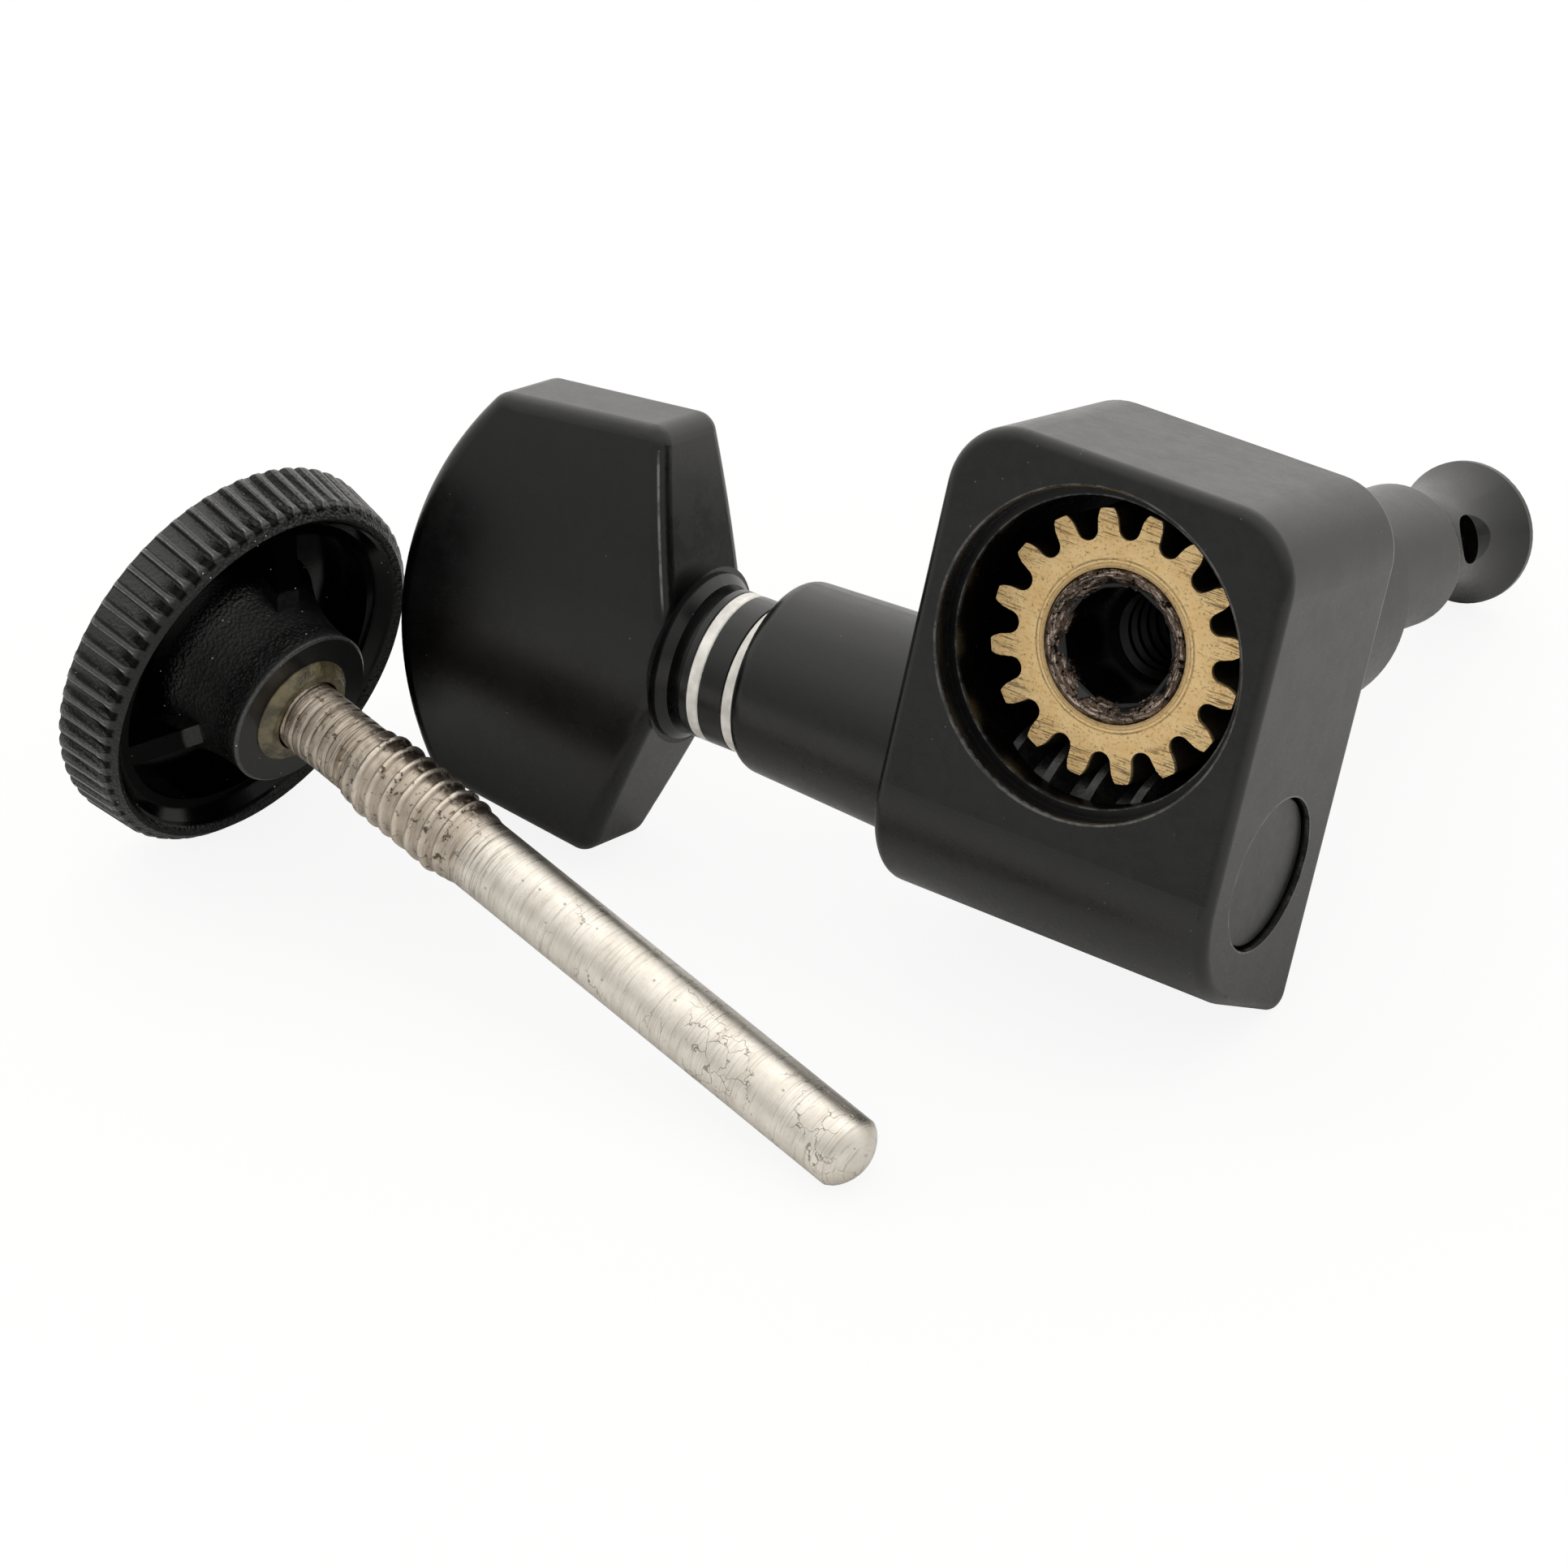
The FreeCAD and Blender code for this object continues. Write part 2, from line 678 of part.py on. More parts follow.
# String post: staked rear end, waist with a cross hole, closed round head
post = new_body("string_post", ON_POST + TURNED.format("sizes.post_turn"))
points = [(ZERO, -post_rear), (s.post_rim, -post_rear), (s.post_radius, s.post_rim_length - post_rear)]
points += [(s.post_radius, s.post_shoulder - s.post_shoulder_round)]
points += [(s.post_radius - s.post_shoulder_round, s.post_shoulder, s.post_shoulder_round)]
points += [(s.head_radius, head_rim, -s.waist_round)]
points += [(s.head_radius, head_end - s.head_round)]
points += [(s.head_radius - s.head_round, head_end, s.head_round), (ZERO, head_end)]
section = outline(post, "post_section", "XZ_Plane", points)
revolve(post, "post_turned", section, "V_Axis")
points = [(ZERO, -s.socket_end), (s.thread_mouth, -s.socket_end)]
points += [(s.thread_minor, s.thread_mouth - s.thread_minor - s.socket_end)]
plain_start = s.thread_run - s.socket_end + s.thread_relief
points += [(s.thread_minor, plain_start), (s.lock_bore_radius, plain_start)]
points += [(s.lock_bore_radius, post_bore_end - s.lock_bore_radius), (ZERO, post_bore_end)]
section = outline(post, "post_bore_section", "XZ_Plane", points)
revolve(post, "post_bore", section, "V_Axis", "Groove")
points = []
for index in range(int(s.socket_sides.value)):
    angle = math.pi * (2 * index + 1) / s.socket_sides.value
    points.append((s.socket_radius * math.cos(angle), s.socket_radius * math.sin(angle)))
socket = outline(post, "socket_outline", "XY_Plane", points, {"z": -post_rear}, s.socket_turn)
extrude(post, "socket", socket, post_rear - s.socket_end, "Pocket", back=True)
points = [(ZERO, -post_rear), (s.post_mouth, -post_rear)]
points += [(s.post_mouth - s.post_mouth_length, s.post_mouth_length - post_rear)]
points += [(ZERO, s.post_mouth_length - post_rear)]
section = outline(post, "post_mouth_section", "XZ_Plane", points)
revolve(post, "post_mouth_cut", section, "V_Axis", "Groove")
start = -s.socket_end
inside = s.thread_minor - s.thread_sink
foot = s.thread_pitch * s.thread_foot_share
crest = s.thread_pitch * s.thread_crest_share
points = [(inside, start - foot), (inside, start + foot)]
points += [(s.thread_major, start + crest), (s.thread_major, start - crest)]
section = outline(post, "post_thread_section", "XZ_Plane", points)
thread(post, "post_thread", section, "V_Axis", s.thread_pitch, s.thread_run, False, "SubtractiveHelix")
mouth_floor = s.string_reach - s.string_mouth_depth
points = [(-s.string_reach, ZERO), (-s.string_reach, s.string_mouth_radius)]
points += [(-mouth_floor, s.string_hole_radius), (mouth_floor, s.string_hole_radius)]
points += [(s.string_reach, s.string_mouth_radius), (s.string_reach, ZERO)]
section = outline(post, "string_hole_section", "XZ_Plane", points,
                  {"y": s.post_shoulder + s.string_hole_up})
revolve(post, "string_hole", section, "H_Axis", "Groove")

# Button: a crowned plate on a round collar, held by a screw from its outer edge
button = new_body("button", ON_BUTTON)
points = [(s.button_shoulder, -s.button_shoulder_half), (s.button_wide, -s.button_wide_half)]
points += [(s.button_far, -s.button_far_half), (s.button_far, s.button_far_half, s.button_arc)]
points += [(s.button_wide, s.button_wide_half), (s.button_shoulder, s.button_shoulder_half)]
face = outline(button, "button_face", "XY_Plane", points)
extrude(button, "button_plate", face, s.button_half * 2, both=True)
side_half = s.button_half - s.button_crown
crown = (s.button_wide_half * s.button_wide_half / s.button_crown + s.button_crown) / 2
clear = s.button_half + s.cut_over
for index, way in enumerate((-1, 1)):
    points = [(-s.button_wide_half, clear * way), (-s.button_wide_half, side_half * way)]
    points += [(s.button_wide_half, side_half * way, -crown * way), (s.button_wide_half, clear * way)]
    rest = outline(button, "crown_" + str(index), "YZ_Plane", points, {"z": s.button_shoulder})
    extrude(button, "crown_cut_" + str(index), rest, s.button_arc, "Pocket", back=True)


def corner_edge(edge):
    box = edge.BoundBox
    return near(box.XLength + box.YLength, ZERO) and box.ZLength > s.button_half.value


def face_edge(edge):
    box = edge.BoundBox
    flat_side = abs((box.ZMin + box.ZMax) / 2) > side_half.value / 2
    past_shoulder = box.XMin > s.button_shoulder.value + s.pick_slack.value
    return flat_side and (past_shoulder or box.YLength > s.button_half.value)


soften(button, "button_corners", s.button_corner, corner_edge)
soften(button, "button_soft_edges", s.button_edge, face_edge)
points = [(ZERO, ZERO), (ZERO, s.collar_core), (s.collar_lip, s.collar_core)]
points += [(s.collar_lip, s.collar_lip_radius), (s.collar_round_end, s.collar_radius)]
points += [(s.collar_step, s.collar_radius), (s.collar_step, s.collar_foot)]
points += [(s.collar_end, s.collar_tail), (s.collar_end, ZERO)]
section = outline(button, "collar_section", "XY_Plane", points)
revolve(button, "collar_turned", section, "H_Axis")
tight = Size(1 + s.shaft_gap.value / s.shaft_radius.value, "(1 + sizes.shaft_gap / sizes.shaft_radius)")
around = s.shaft_radius * tight
points = [(-s.flat_half * tight, s.flat_high * tight), (ZERO, -around, around)]
points += [(s.flat_half * tight, s.flat_high * tight, around)]
bore = outline(button, "button_bore_outline", "YZ_Plane", points)
shaft_room = shaft_end - collar_start
extrude(button, "button_bore", bore, shaft_room, "Pocket", back=True)
shank_room = s.screw_shank + s.screw_shank_gap
head_room = s.screw_head + s.screw_head_gap
past_button = s.button_far + s.button_arc
points = [(shaft_room, ZERO), (shaft_room, shank_room), (s.screw_head_seat, shank_room)]
points += [(s.screw_head_seat, head_room), (past_button, head_room), (past_button, ZERO)]
section = outline(button, "button_screw_section", "XY_Plane", points)
revolve(button, "button_screw_hole", section, "H_Axis", "Groove")

# Screw that holds the button on the shaft
screw = new_body("button_screw", ON_BUTTON)
head_top = s.screw_head_seat + s.screw_head_thick
slot_floor = head_top - s.screw_slot_deep
points = [(s.screw_tip, ZERO), (s.screw_tip, s.screw_shank), (s.screw_head_seat, s.screw_shank)]
points += [(s.screw_head_seat, s.screw_head), (head_top, s.screw_head), (head_top, ZERO)]
section = outline(screw, "screw_section", "XY_Plane", points)
revolve(screw, "screw_turned", section, "H_Axis")
points = [(slot_floor, -s.screw_slot_half), (head_top, -s.screw_slot_half)]
points += [(head_top, s.screw_slot_half), (slot_floor, s.screw_slot_half)]
slot = outline(screw, "slot_outline", "XY_Plane", points)
extrude(screw, "slot", slot, s.screw_head * 2, "Pocket", both=True)

# Locating pins of the seat
for label, side in (("locating_pin_near", 1), ("locating_pin_far", -1)):
    pin = new_body(label, ON_POST)
    shift = {"x": pin_side * side, "y": -s.pin_hole_deep}
    pin_top = s.pin_hole_deep + s.pin_proud
    points = [(ZERO, ZERO), (s.pin_stem, ZERO), (s.pin_stem, s.pin_hole_deep)]
    points += [(s.pin_radius, s.pin_hole_deep), (s.pin_radius, pin_top - s.pin_edge)]
    points += [(s.pin_radius - s.pin_edge, pin_top), (ZERO, pin_top)]
    shift["z"] = s.pin_down
    section = outline(pin, label + "_section", "XZ_Plane", points, shift)
    revolve(pin, label + "_turned", section, "V_Axis")

# Knob of the thumb screw: fluted rim, hollow inside round a tapered hub
knob = new_body("thumb_knob", SCREW + TURNED.format("sizes.rib_turn"))
points = [(ZERO, ZERO), (s.knob_back - s.knob_back_round, ZERO)]
points += [(s.knob_back, s.knob_back_round, s.knob_back_round)]
points += [(s.knob_front, s.knurl_end), (s.lip_out, s.lip_out_high), (s.lip_top, s.lip_top_high)]
points += [(s.lip_in, s.lip_in_high), (s.cup_ledge, s.cup_ledge_high), (s.cup_radius, s.cup_ledge_high)]
points += [(s.cup_radius, s.cup_floor), (s.hub_base, s.cup_floor)]
points += [(s.hub_radius, s.hub_top - s.hub_edge, -s.hub_round), (s.hub_radius - s.hub_edge, s.hub_top)]
points += [(s.bead_outer, s.hub_top), (s.rod_seat, bead_deep), (s.rod_seat, s.rod_start), (ZERO, s.rod_start)]
section = outline(knob, "knob_section", "XZ_Plane", points)
revolve(knob, "knob_turned", section, "V_Axis")
points = [(s.rib_in, s.cup_floor), (s.rib_out, s.cup_floor), (s.rib_out, s.rib_out_high)]
points += [(s.rib_in, s.rib_in_high)]
rib = outline(knob, "rib_outline", "XZ_Plane", points)
rib_pad = extrude(knob, "rib", rib, s.rib_half * 2, both=True)
sections = []
ends = [(-s.cut_over, s.flute_half, s.flute_floor_half, s.flute_deep, s.knob_back)]
ends.append((s.flute_run, s.flute_half, s.flute_floor_half, s.flute_deep, s.knob_front))
ends.append((s.flute_bend, s.flute_bend_half, s.flute_bend_floor, s.flute_bend_deep, s.knob_front))
ends.append((s.flute_out, s.flute_tip_half, s.flute_tip_floor, s.flute_tip_deep, s.lip_out))
flute_turn = s.flute_turn - s.rib_turn
for index, (height, half, floor_half, deep, radius) in enumerate(ends):
    outside = radius + s.cut_over
    points = [(outside, -half), (radius, -half), (radius - deep, -floor_half)]
    points += [(radius - deep, floor_half), (radius, half), (outside, half)]
    sections.append(outline(knob, "flute_" + str(index), "XY_Plane", points, {"z": height}, flute_turn))
repeat(knob, "ribs", [rib_pad], sections[0], s.rib_count)
flute = knob.newObject("PartDesign::SubtractiveLoft", "flute")
flute.Profile = sections[0]
flute.Sections = sections[1:]
flute.Ruled = True
doc.recompute()
repeat(knob, "flutes", [flute], sections[0], s.flute_count)

# Lock rod: glued seat, fine thread, coarse thread, plain shank with a domed tip
rod = new_body("lock_rod", SCREW)
tip_start = s.rod_shank_end + s.rod_tip_bevel
points = [(ZERO, s.rod_start), (s.rod_seat, s.rod_start), (s.rod_seat, rod_seat_end)]
points += [(s.rod_fine_core, rod_seat_end), (s.rod_fine_core, s.rod_fine_end)]
points += [(s.rod_coarse_core, s.rod_fine_end), (s.rod_coarse_core, s.rod_coarse_end)]
points += [(s.rod_shank, s.rod_coarse_end + s.rod_coarse_bevel), (s.rod_shank, s.rod_shank_end)]
dome_round = (s.rod_tip_radius * s.rod_tip_radius / s.rod_dome_high + s.rod_dome_high) / 2
points += [(s.rod_tip_radius, tip_start), (ZERO, tip_start + s.rod_dome_high, dome_round)]
section = outline(rod, "rod_section", "XZ_Plane", points)
revolve(rod, "rod_turned", section, "V_Axis")


def thread_section(body, name, start, foot, crest, low, tip):
    points = [(low, start - foot), (tip, start - crest), (tip, start + crest), (low, start + foot)]
    return outline(body, name, "XZ_Plane", points)


fine_start = rod_seat_end + s.rod_fine_pitch
section = thread_section(rod, "fine_thread_section", fine_start, s.rod_fine_foot, s.rod_fine_half,
                         s.rod_fine_core - s.thread_sink, s.rod_fine_tip)
thread(rod, "fine_thread", section, "V_Axis", s.rod_fine_pitch, s.rod_fine_end - fine_start, False)
coarse_start = s.rod_fine_end + s.rod_thread_gap
section = thread_section(rod, "coarse_thread_section", coarse_start, s.rod_coarse_foot,
                         s.rod_coarse_half, s.rod_coarse_core - s.thread_sink, s.rod_coarse_tip)
thread(rod, "coarse_thread", section, "V_Axis", s.thread_pitch, s.rod_coarse_run, False)

# Bead of glue that seals the rod in the knob's hub
bead = new_body("glue_bead", SCREW)
bead_inner = s.rod_fine_tip + s.bead_gap
bead_top = s.hub_top + s.bead_proud
points = [(bead_inner, rod_seat_end), (s.bead_outer, s.hub_top), (s.bead_outer, s.hub_top + s.bead_lift)]
points += [(s.bead_top_radius, bead_top), (bead_inner, bead_top)]
section = outline(bead, "bead_section", "XZ_Plane", points)
revolve(bead, "bead_turned", section, "V_Axis")

doc.recompute()
for item in doc.Objects:
    if "Invalid" in item.State or "Error" in item.State:
        raise ValueError("failed: " + item.Label)
for body in pieces:
    if body.Shape.isNull() or not body.Shape.isValid() or len(body.Shape.Solids) != 1:
        raise ValueError("bad solid: " + body.Label)
os.makedirs("parts", exist_ok=True)
for body in pieces:
    body.Shape.exportStep("parts/" + body.Label + ".step")
    box = body.Shape.BoundBox
    print(body.Label, round(body.Shape.Volume, 3), [round(v, 2) for v in (box.XMin, box.YMin, box.ZMin,
          box.XMax, box.YMax, box.ZMax)])
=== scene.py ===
import bpy
import math
from functools import reduce
import numpy as np
from mathutils import Euler, Matrix, Quaternion, Vector


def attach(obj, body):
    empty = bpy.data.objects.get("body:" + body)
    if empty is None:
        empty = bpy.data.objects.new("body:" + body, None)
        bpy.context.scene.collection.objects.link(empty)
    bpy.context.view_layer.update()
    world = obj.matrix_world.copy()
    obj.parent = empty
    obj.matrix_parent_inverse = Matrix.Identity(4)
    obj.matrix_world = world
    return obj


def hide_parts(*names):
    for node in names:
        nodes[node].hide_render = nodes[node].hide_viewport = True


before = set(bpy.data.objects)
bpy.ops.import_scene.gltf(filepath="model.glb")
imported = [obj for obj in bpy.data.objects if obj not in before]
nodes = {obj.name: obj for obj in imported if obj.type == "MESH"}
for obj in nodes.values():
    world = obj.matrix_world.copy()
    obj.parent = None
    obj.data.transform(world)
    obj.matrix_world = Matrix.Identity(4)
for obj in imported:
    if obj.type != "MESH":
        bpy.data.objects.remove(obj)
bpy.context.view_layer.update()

MM = 0.001
TURN = 2 * math.pi

# Where the tuner and the thumb screw lie on the ground. These turns and places are the CAD's own.
# The tuner's z axis is the post's, from the case's seat towards the string. Its x axis has the
# shaft's direction, towards the button. The thumb screw's z axis runs from the knob to the tip.
TUNER_TURN = Euler((math.radians(112.722), math.radians(-2.813), math.radians(180.0)), "XYZ")
TUNER_AT = Vector((16.154, -0.346, 13.017)) * MM
TUNER = Matrix.Translation(TUNER_AT) @ TUNER_TURN.to_matrix().to_4x4()
SCREW_TURN = Euler((0, math.radians(90 + 10.903), math.radians(-12.221)), "XYZ")
SCREW_AT = Vector((-21.836, -15.933, 8.564)) * MM
SCREW = Matrix.Translation(SCREW_AT) @ SCREW_TURN.to_matrix().to_4x4()

# Sizes of the CAD that a look follows, in millimetres and degrees
SHAFT_DOWN, SHAFT_DEEP = 7.252, 4.945
BUTTON_OUT, BUTTON_TURN = 17.98, -3.2
BUTTON_SHOULDER, BUTTON_SHOULDER_HALF = 0.98, 1.91
CASE_DEPTH, WHEEL_INSET = 9.84, 2.43
WHEEL_FACE = CASE_DEPTH - WHEEL_INSET
MOUTH_EDGE, LEDGE_EDGE, PLUG_BORE_EDGE = 6.6, 6.13, 3.22
POST_PROUD, POST_TURN, SOCKET_TURN = 0.09, 155.0, 4.0
FLUTES, FLUTE_TURN, FLUTE_PITCH = 60, 1.8, 0.885
HUB_TAPER, KNOB_TAPER = 0.269, 0.1095
ROD_START, ROD_SEAT_END, FINE_END, COARSE_END = 1.2, 5.0, 9.7, 15.9
SEAT_RADIUS, FINE_CORE, COARSE_CORE, SHANK_RADIUS = 1.55, 1.45, 1.62, 1.536
SHANK_END, TIP_BEVEL, TIP_RADIUS, DOME_HIGH = 37.3, 0.2, 1.42, 0.65

BUTTON = TUNER @ Matrix.Translation(Vector((BUTTON_OUT, -SHAFT_DOWN, -SHAFT_DEEP)) * MM)
BUTTON = BUTTON @ Matrix.Rotation(math.radians(BUTTON_TURN), 4, "X")


# Camera
camera_data = bpy.data.cameras.new("camera")
camera = bpy.data.objects.new("camera", camera_data)
bpy.context.scene.collection.objects.link(camera)
camera.location = (0.1090066, -0.1626153, 0.1421253)
camera.rotation_mode = "QUATERNION"
camera.rotation_quaternion = Quaternion((0.8575952, 0.4279436, 0.1478086, 0.2440233))
camera_data.sensor_width = 36
camera_data.lens = 131.165
camera_data.clip_start = 0.01
camera_data.clip_end = 20
bpy.context.scene.camera = camera


# Nodes
class Nodes:
    """Short names for building the node tree of a material or a world."""

    def __init__(self, owner, output):
        owner.use_nodes = True
        self.tree = owner.node_tree
        self.tree.nodes.clear()
        self.out = self.add(output)
        self.coordinates = self.add("TexCoord").outputs

    def add(self, kind, **settings):
        node = self.tree.nodes.new("ShaderNode" + kind)
        for key, value in settings.items():
            setattr(node, key, value)
        return node

    def put(self, socket, value):
        if hasattr(value, "is_output"):
            self.tree.links.new(value, socket)
        else:
            socket.default_value = value

    def show(self, surface):
        self.put(self.out.inputs["Surface"], surface)

    def pick(self, share, a, b):
        """Surface a, and b where the share is 1."""
        node = self.add("MixShader")
        for socket, value in zip(node.inputs, (share, a, b)):
            self.put(socket, value)
        return node.outputs[0]

    def math(self, operation, *values):
        node = self.add("Math", operation=operation)
        for socket, value in zip(node.inputs, values):
            self.put(socket, value)
        return node.outputs[0]

    def fold(self, operation, values):
        return reduce(lambda a, b: self.math(operation, a, b), values)

    def times(self, *values):
        return self.fold("MULTIPLY", values)

    def plus(self, *values):
        return self.fold("ADD", values)

    def most(self, *values):
        return self.fold("MAXIMUM", values)

    def minus(self, a, b):
        return self.math("SUBTRACT", a, b)

    def line(self, value, slope, base):
        """The value times the slope, plus the base."""
        return self.math("MULTIPLY_ADD", value, slope, base)

    def length(self, a, b):
        return self.math("SQRT", self.plus(self.times(a, a), self.times(b, b)))

    def ramp(self, value, low, high, dark=0.0, light=1.0):
        """A smooth step from dark, where the value is low, to light, where it is high."""
        node = self.add("MapRange", interpolation_type="SMOOTHSTEP")
        self.put(node.inputs["Value"], value)
        node.inputs["From Min"].default_value = low
        node.inputs["From Max"].default_value = high
        node.inputs["To Min"].default_value = dark
        node.inputs["To Max"].default_value = light
        return node.outputs[0]

    def span(self, value, start, end):
        """1 between a start and an end, each given as the value for 0 and the value for 1."""
        return self.times(self.ramp(value, *start), self.ramp(value, *end))

    def ridge(self, value, place, half):
        """1 where the value is at the place, fading to 0 over the half width."""
        return self.ramp(self.math("ABSOLUTE", self.minus(value, place)), half, half * 0.3)


class Shader(Nodes):
    """One material, with the textures that its looks are made of."""

    def __init__(self, name):
        self.material = bpy.data.materials.new(name)
        super().__init__(self.material, "OutputMaterial")

    def at(self, origin, turn):
        """Object coordinates in the frame with this origin and turn, in millimetres."""
        node = self.add("Mapping", vector_type="TEXTURE")
        self.put(node.inputs["Vector"], self.coordinates["Object"])
        node.inputs["Location"].default_value = origin
        node.inputs["Rotation"].default_value = turn
        node.inputs["Scale"].default_value = (MM,) * 3
        return node.outputs[0]

    def tuner(self):
        return self.at(TUNER_AT, TUNER_TURN)

    def stretch(self, vector, scale, turn=(0, 0, 0)):
        node = self.add("Mapping", vector_type="POINT")
        self.put(node.inputs["Vector"], vector)
        node.inputs["Rotation"].default_value = turn
        node.inputs["Scale"].default_value = scale
        return node.outputs[0]

    def split(self, vector):
        node = self.add("SeparateXYZ")
        self.put(node.inputs[0], vector)
        return node.outputs[0:3]

    def join(self, x, y, z):
        node = self.add("CombineXYZ")
        for socket, value in zip(node.inputs, (x, y, z)):
            self.put(socket, value)
        return node.outputs[0]

    def from_axis(self, vector):
        """Distance from the frame's z axis, angle round it, and height along it."""
        x, y, z = self.split(vector)
        return self.length(x, y), self.math("ARCTAN2", y, x), z

    def noise(self, vector, scale, detail=2.0, rough=0.5):
        node = self.add("TexNoise")
        self.put(node.inputs["Vector"], vector)
        node.inputs["Scale"].default_value = scale
        node.inputs["Detail"].default_value = detail
        node.inputs["Roughness"].default_value = rough
        return node.outputs[0]

    def cells(self, vector, scale, feature="F1"):
        node = self.add("TexVoronoi", feature=feature)
        self.put(node.inputs["Vector"], vector)
        node.inputs["Scale"].default_value = scale
        return node.outputs

    def specks(self, vector, scale, size, share):
        """Sparse round specks: 1 inside, 0 outside."""
        cells = self.cells(vector, scale)
        near = self.ramp(cells["Distance"], size, size * 0.5)
        chosen = self.math("GREATER_THAN", self.split(cells["Color"])[0], 1 - share)
        return self.times(near, chosen)

    def mix(self, share, a, b):
        """Colour a, and b where the share is 1."""
        node = self.add("Mix", data_type="RGBA")
        self.put(node.inputs["Factor"], share)
        colours = [i for i in node.inputs if i.type == "RGBA"]
        self.put(colours[0], a)
        self.put(colours[1], b)
        return [o for o in node.outputs if o.type == "RGBA"][0]

    def bump(self, height, distance):
        node = self.add("Bump")
        self.put(node.inputs["Height"], height)
        node.inputs["Distance"].default_value = distance * MM
        return node.outputs[0]

    def finish(self, colour, roughness, metallic, normal, **fixed):
        node = self.add("BsdfPrincipled")
        self.put(node.inputs["Base Color"], colour)
        self.put(node.inputs["Roughness"], roughness)
        self.put(node.inputs["Metallic"], metallic)
        self.put(node.inputs["Normal"], normal)
        for key, value in fixed.items():
            self.put(node.inputs[key.replace("_", " ")], value)
        self.show(node.outputs[0])
        return self.material


def grey(value):
    return (value, value, value, 1)


def colour(*shown):
    """A colour written as the 0 to 255 values that it shows as."""
    parts = (c / 255 for c in shown)
    return tuple(((c + 0.055) / 1.055) ** 2.4 if c > 0.04 else c / 12.92 for c in parts) + (1,)


# Materials. The tone is mixed from below to above, one layer a line.
def satin_black(name, base=0.0018, rough=0.3, grain=0.004, speck_share=0.012, level=0.5, sheen=0.03,
                brushed=0.0, edges=None, shade_mask=None):
    """Satin black lacquer: fine grain, cloudy sheen, a little dust, painted highlights along edges,
    painted shade in recesses.
    """
    s = Shader(name)
    tuner = s.tuner()
    grit = s.noise(tuner, 7.0, 3.0, 0.7)
    broad = s.noise(tuner, 0.55, 3.0, 0.6)
    cloud = s.noise(tuner, 2.2, 4.0, 0.65)
    dust = s.most(s.specks(tuner, 1.7, 0.07, speck_share), s.specks(tuner, 4.5, 0.16, speck_share))
    tone = s.mix(s.ramp(cloud, 0.35, 0.7), grey(base * 0.7), grey(base * 1.5))
    tone = s.mix(s.times(s.ramp(grit, 0.6, 0.75), 0.25), tone, grey(base * 3))
    tone = s.mix(dust, tone, grey(0.12))
    # Painted highlight: pale lines along the edges that the edges mask gives
    if edges:
        tone = s.mix(edges(s, tuner), tone, grey(0.16))
    # Painted shade: less reflection towards the belly
    level = s.times(s.ramp(s.split(tuner)[1], -13.0, -4.0, 0.8, 1.0), level)
    # Painted shade: black and less reflection where the shade mask lies
    if shade_mask:
        unshaded = s.minus(1.0, shade_mask(s, tuner))
        tone = s.mix(unshaded, grey(0.0), tone)
        level = s.times(unshaded, level)
    height = grit
    if brushed:
        streak = s.noise(s.stretch(tuner, (9.0, 9.0, 0.35)), 1.0, 4.0, 0.7)
        height = s.plus(height, s.times(streak, brushed))
    height = s.plus(height, s.times(dust, 2.0))
    roughness = s.plus(s.ramp(broad, 0.3, 0.7, rough - 0.03, rough + 0.03),
                       s.ramp(cloud, 0.3, 0.7, -sheen, sheen))
    return s.finish(tone, roughness, 0.0, s.bump(height, grain), Specular_IOR_Level=level)


def from_shaft(s, tuner):
    """Place along the worm shaft, and distance from its axis."""
    x, y, z = s.split(tuner)
    return x, s.length(s.plus(y, SHAFT_DOWN), s.plus(z, SHAFT_DEEP))


def case_edge_highlights(s, tuner):
    """Painted highlight lines where the mouth, its ledge and the plug's bore break the case's
    faces.
    """
    radius, angle, z = s.from_axis(tuner)
    mouth = s.times(s.ridge(radius, MOUTH_EDGE, 0.06), s.ramp(z, -9.6, -9.72, 0.0, 0.6))
    ledge = s.times(s.span(z, (-8.7, -8.9), (-9.1, -9.0)), s.ridge(radius, LEDGE_EDGE, 0.05))
    x, from_plug = from_shaft(s, tuner)
    plug = s.times(s.ridge(from_plug, PLUG_BORE_EDGE, 0.05), s.ramp(x, -7.3, -7.45))
    # Where the painted highlight lines fade in and out along their length
    worn = s.ramp(s.noise(tuner, 1.1, 4.0, 0.7), 0.42, 0.6)
    return s.times(s.most(mouth, ledge, s.times(plug, 0.8)), s.line(worn, 0.8, 0.2))


def chamber_shade(s, tuner):
    """Painted shade on the wall of the chamber."""
    radius, angle, z = s.from_axis(tuner)
    return s.times(s.ramp(radius, 6.5, 6.44), s.ramp(z, -1.0, -2.0), 0.4)


def plug_gap(s, tuner):
    """Painted shade round the plug's rim, in its recess."""
    return s.ramp(from_shaft(s, tuner)[1], 2.98, 3.06)


def post_bore_shade(s, tuner):
    """Painted shade inside the post."""
    radius, angle, z = s.from_axis(tuner)
    return s.times(s.ramp(radius, 2.4, 2.1), s.ramp(z, 6.0, 5.0), 0.6)


def button_edge_highlight(s, tuner):
    """A thin painted highlight line along the upper inner edge of the button's face."""
    x, y, z = s.split(s.at(BUTTON.to_translation(), BUTTON.to_euler("XYZ")))
    from_edge = s.minus(s.times(s.minus(x, BUTTON_SHOULDER), 0.953),
                        s.times(s.minus(y, BUTTON_SHOULDER_HALF), 0.303))
    highlight_line = s.times(s.ridge(from_edge, 0.3, 0.06), s.ramp(z, -1.2, -1.6))
    # Where the painted highlight fades out
    worn = s.ramp(s.noise(tuner, 1.4, 3.0, 0.6), 0.35, 0.6, 0.4, 1.0)
    return s.times(highlight_line, s.span(y, (2.0, 3.2), (8.6, 8.0)), worn)


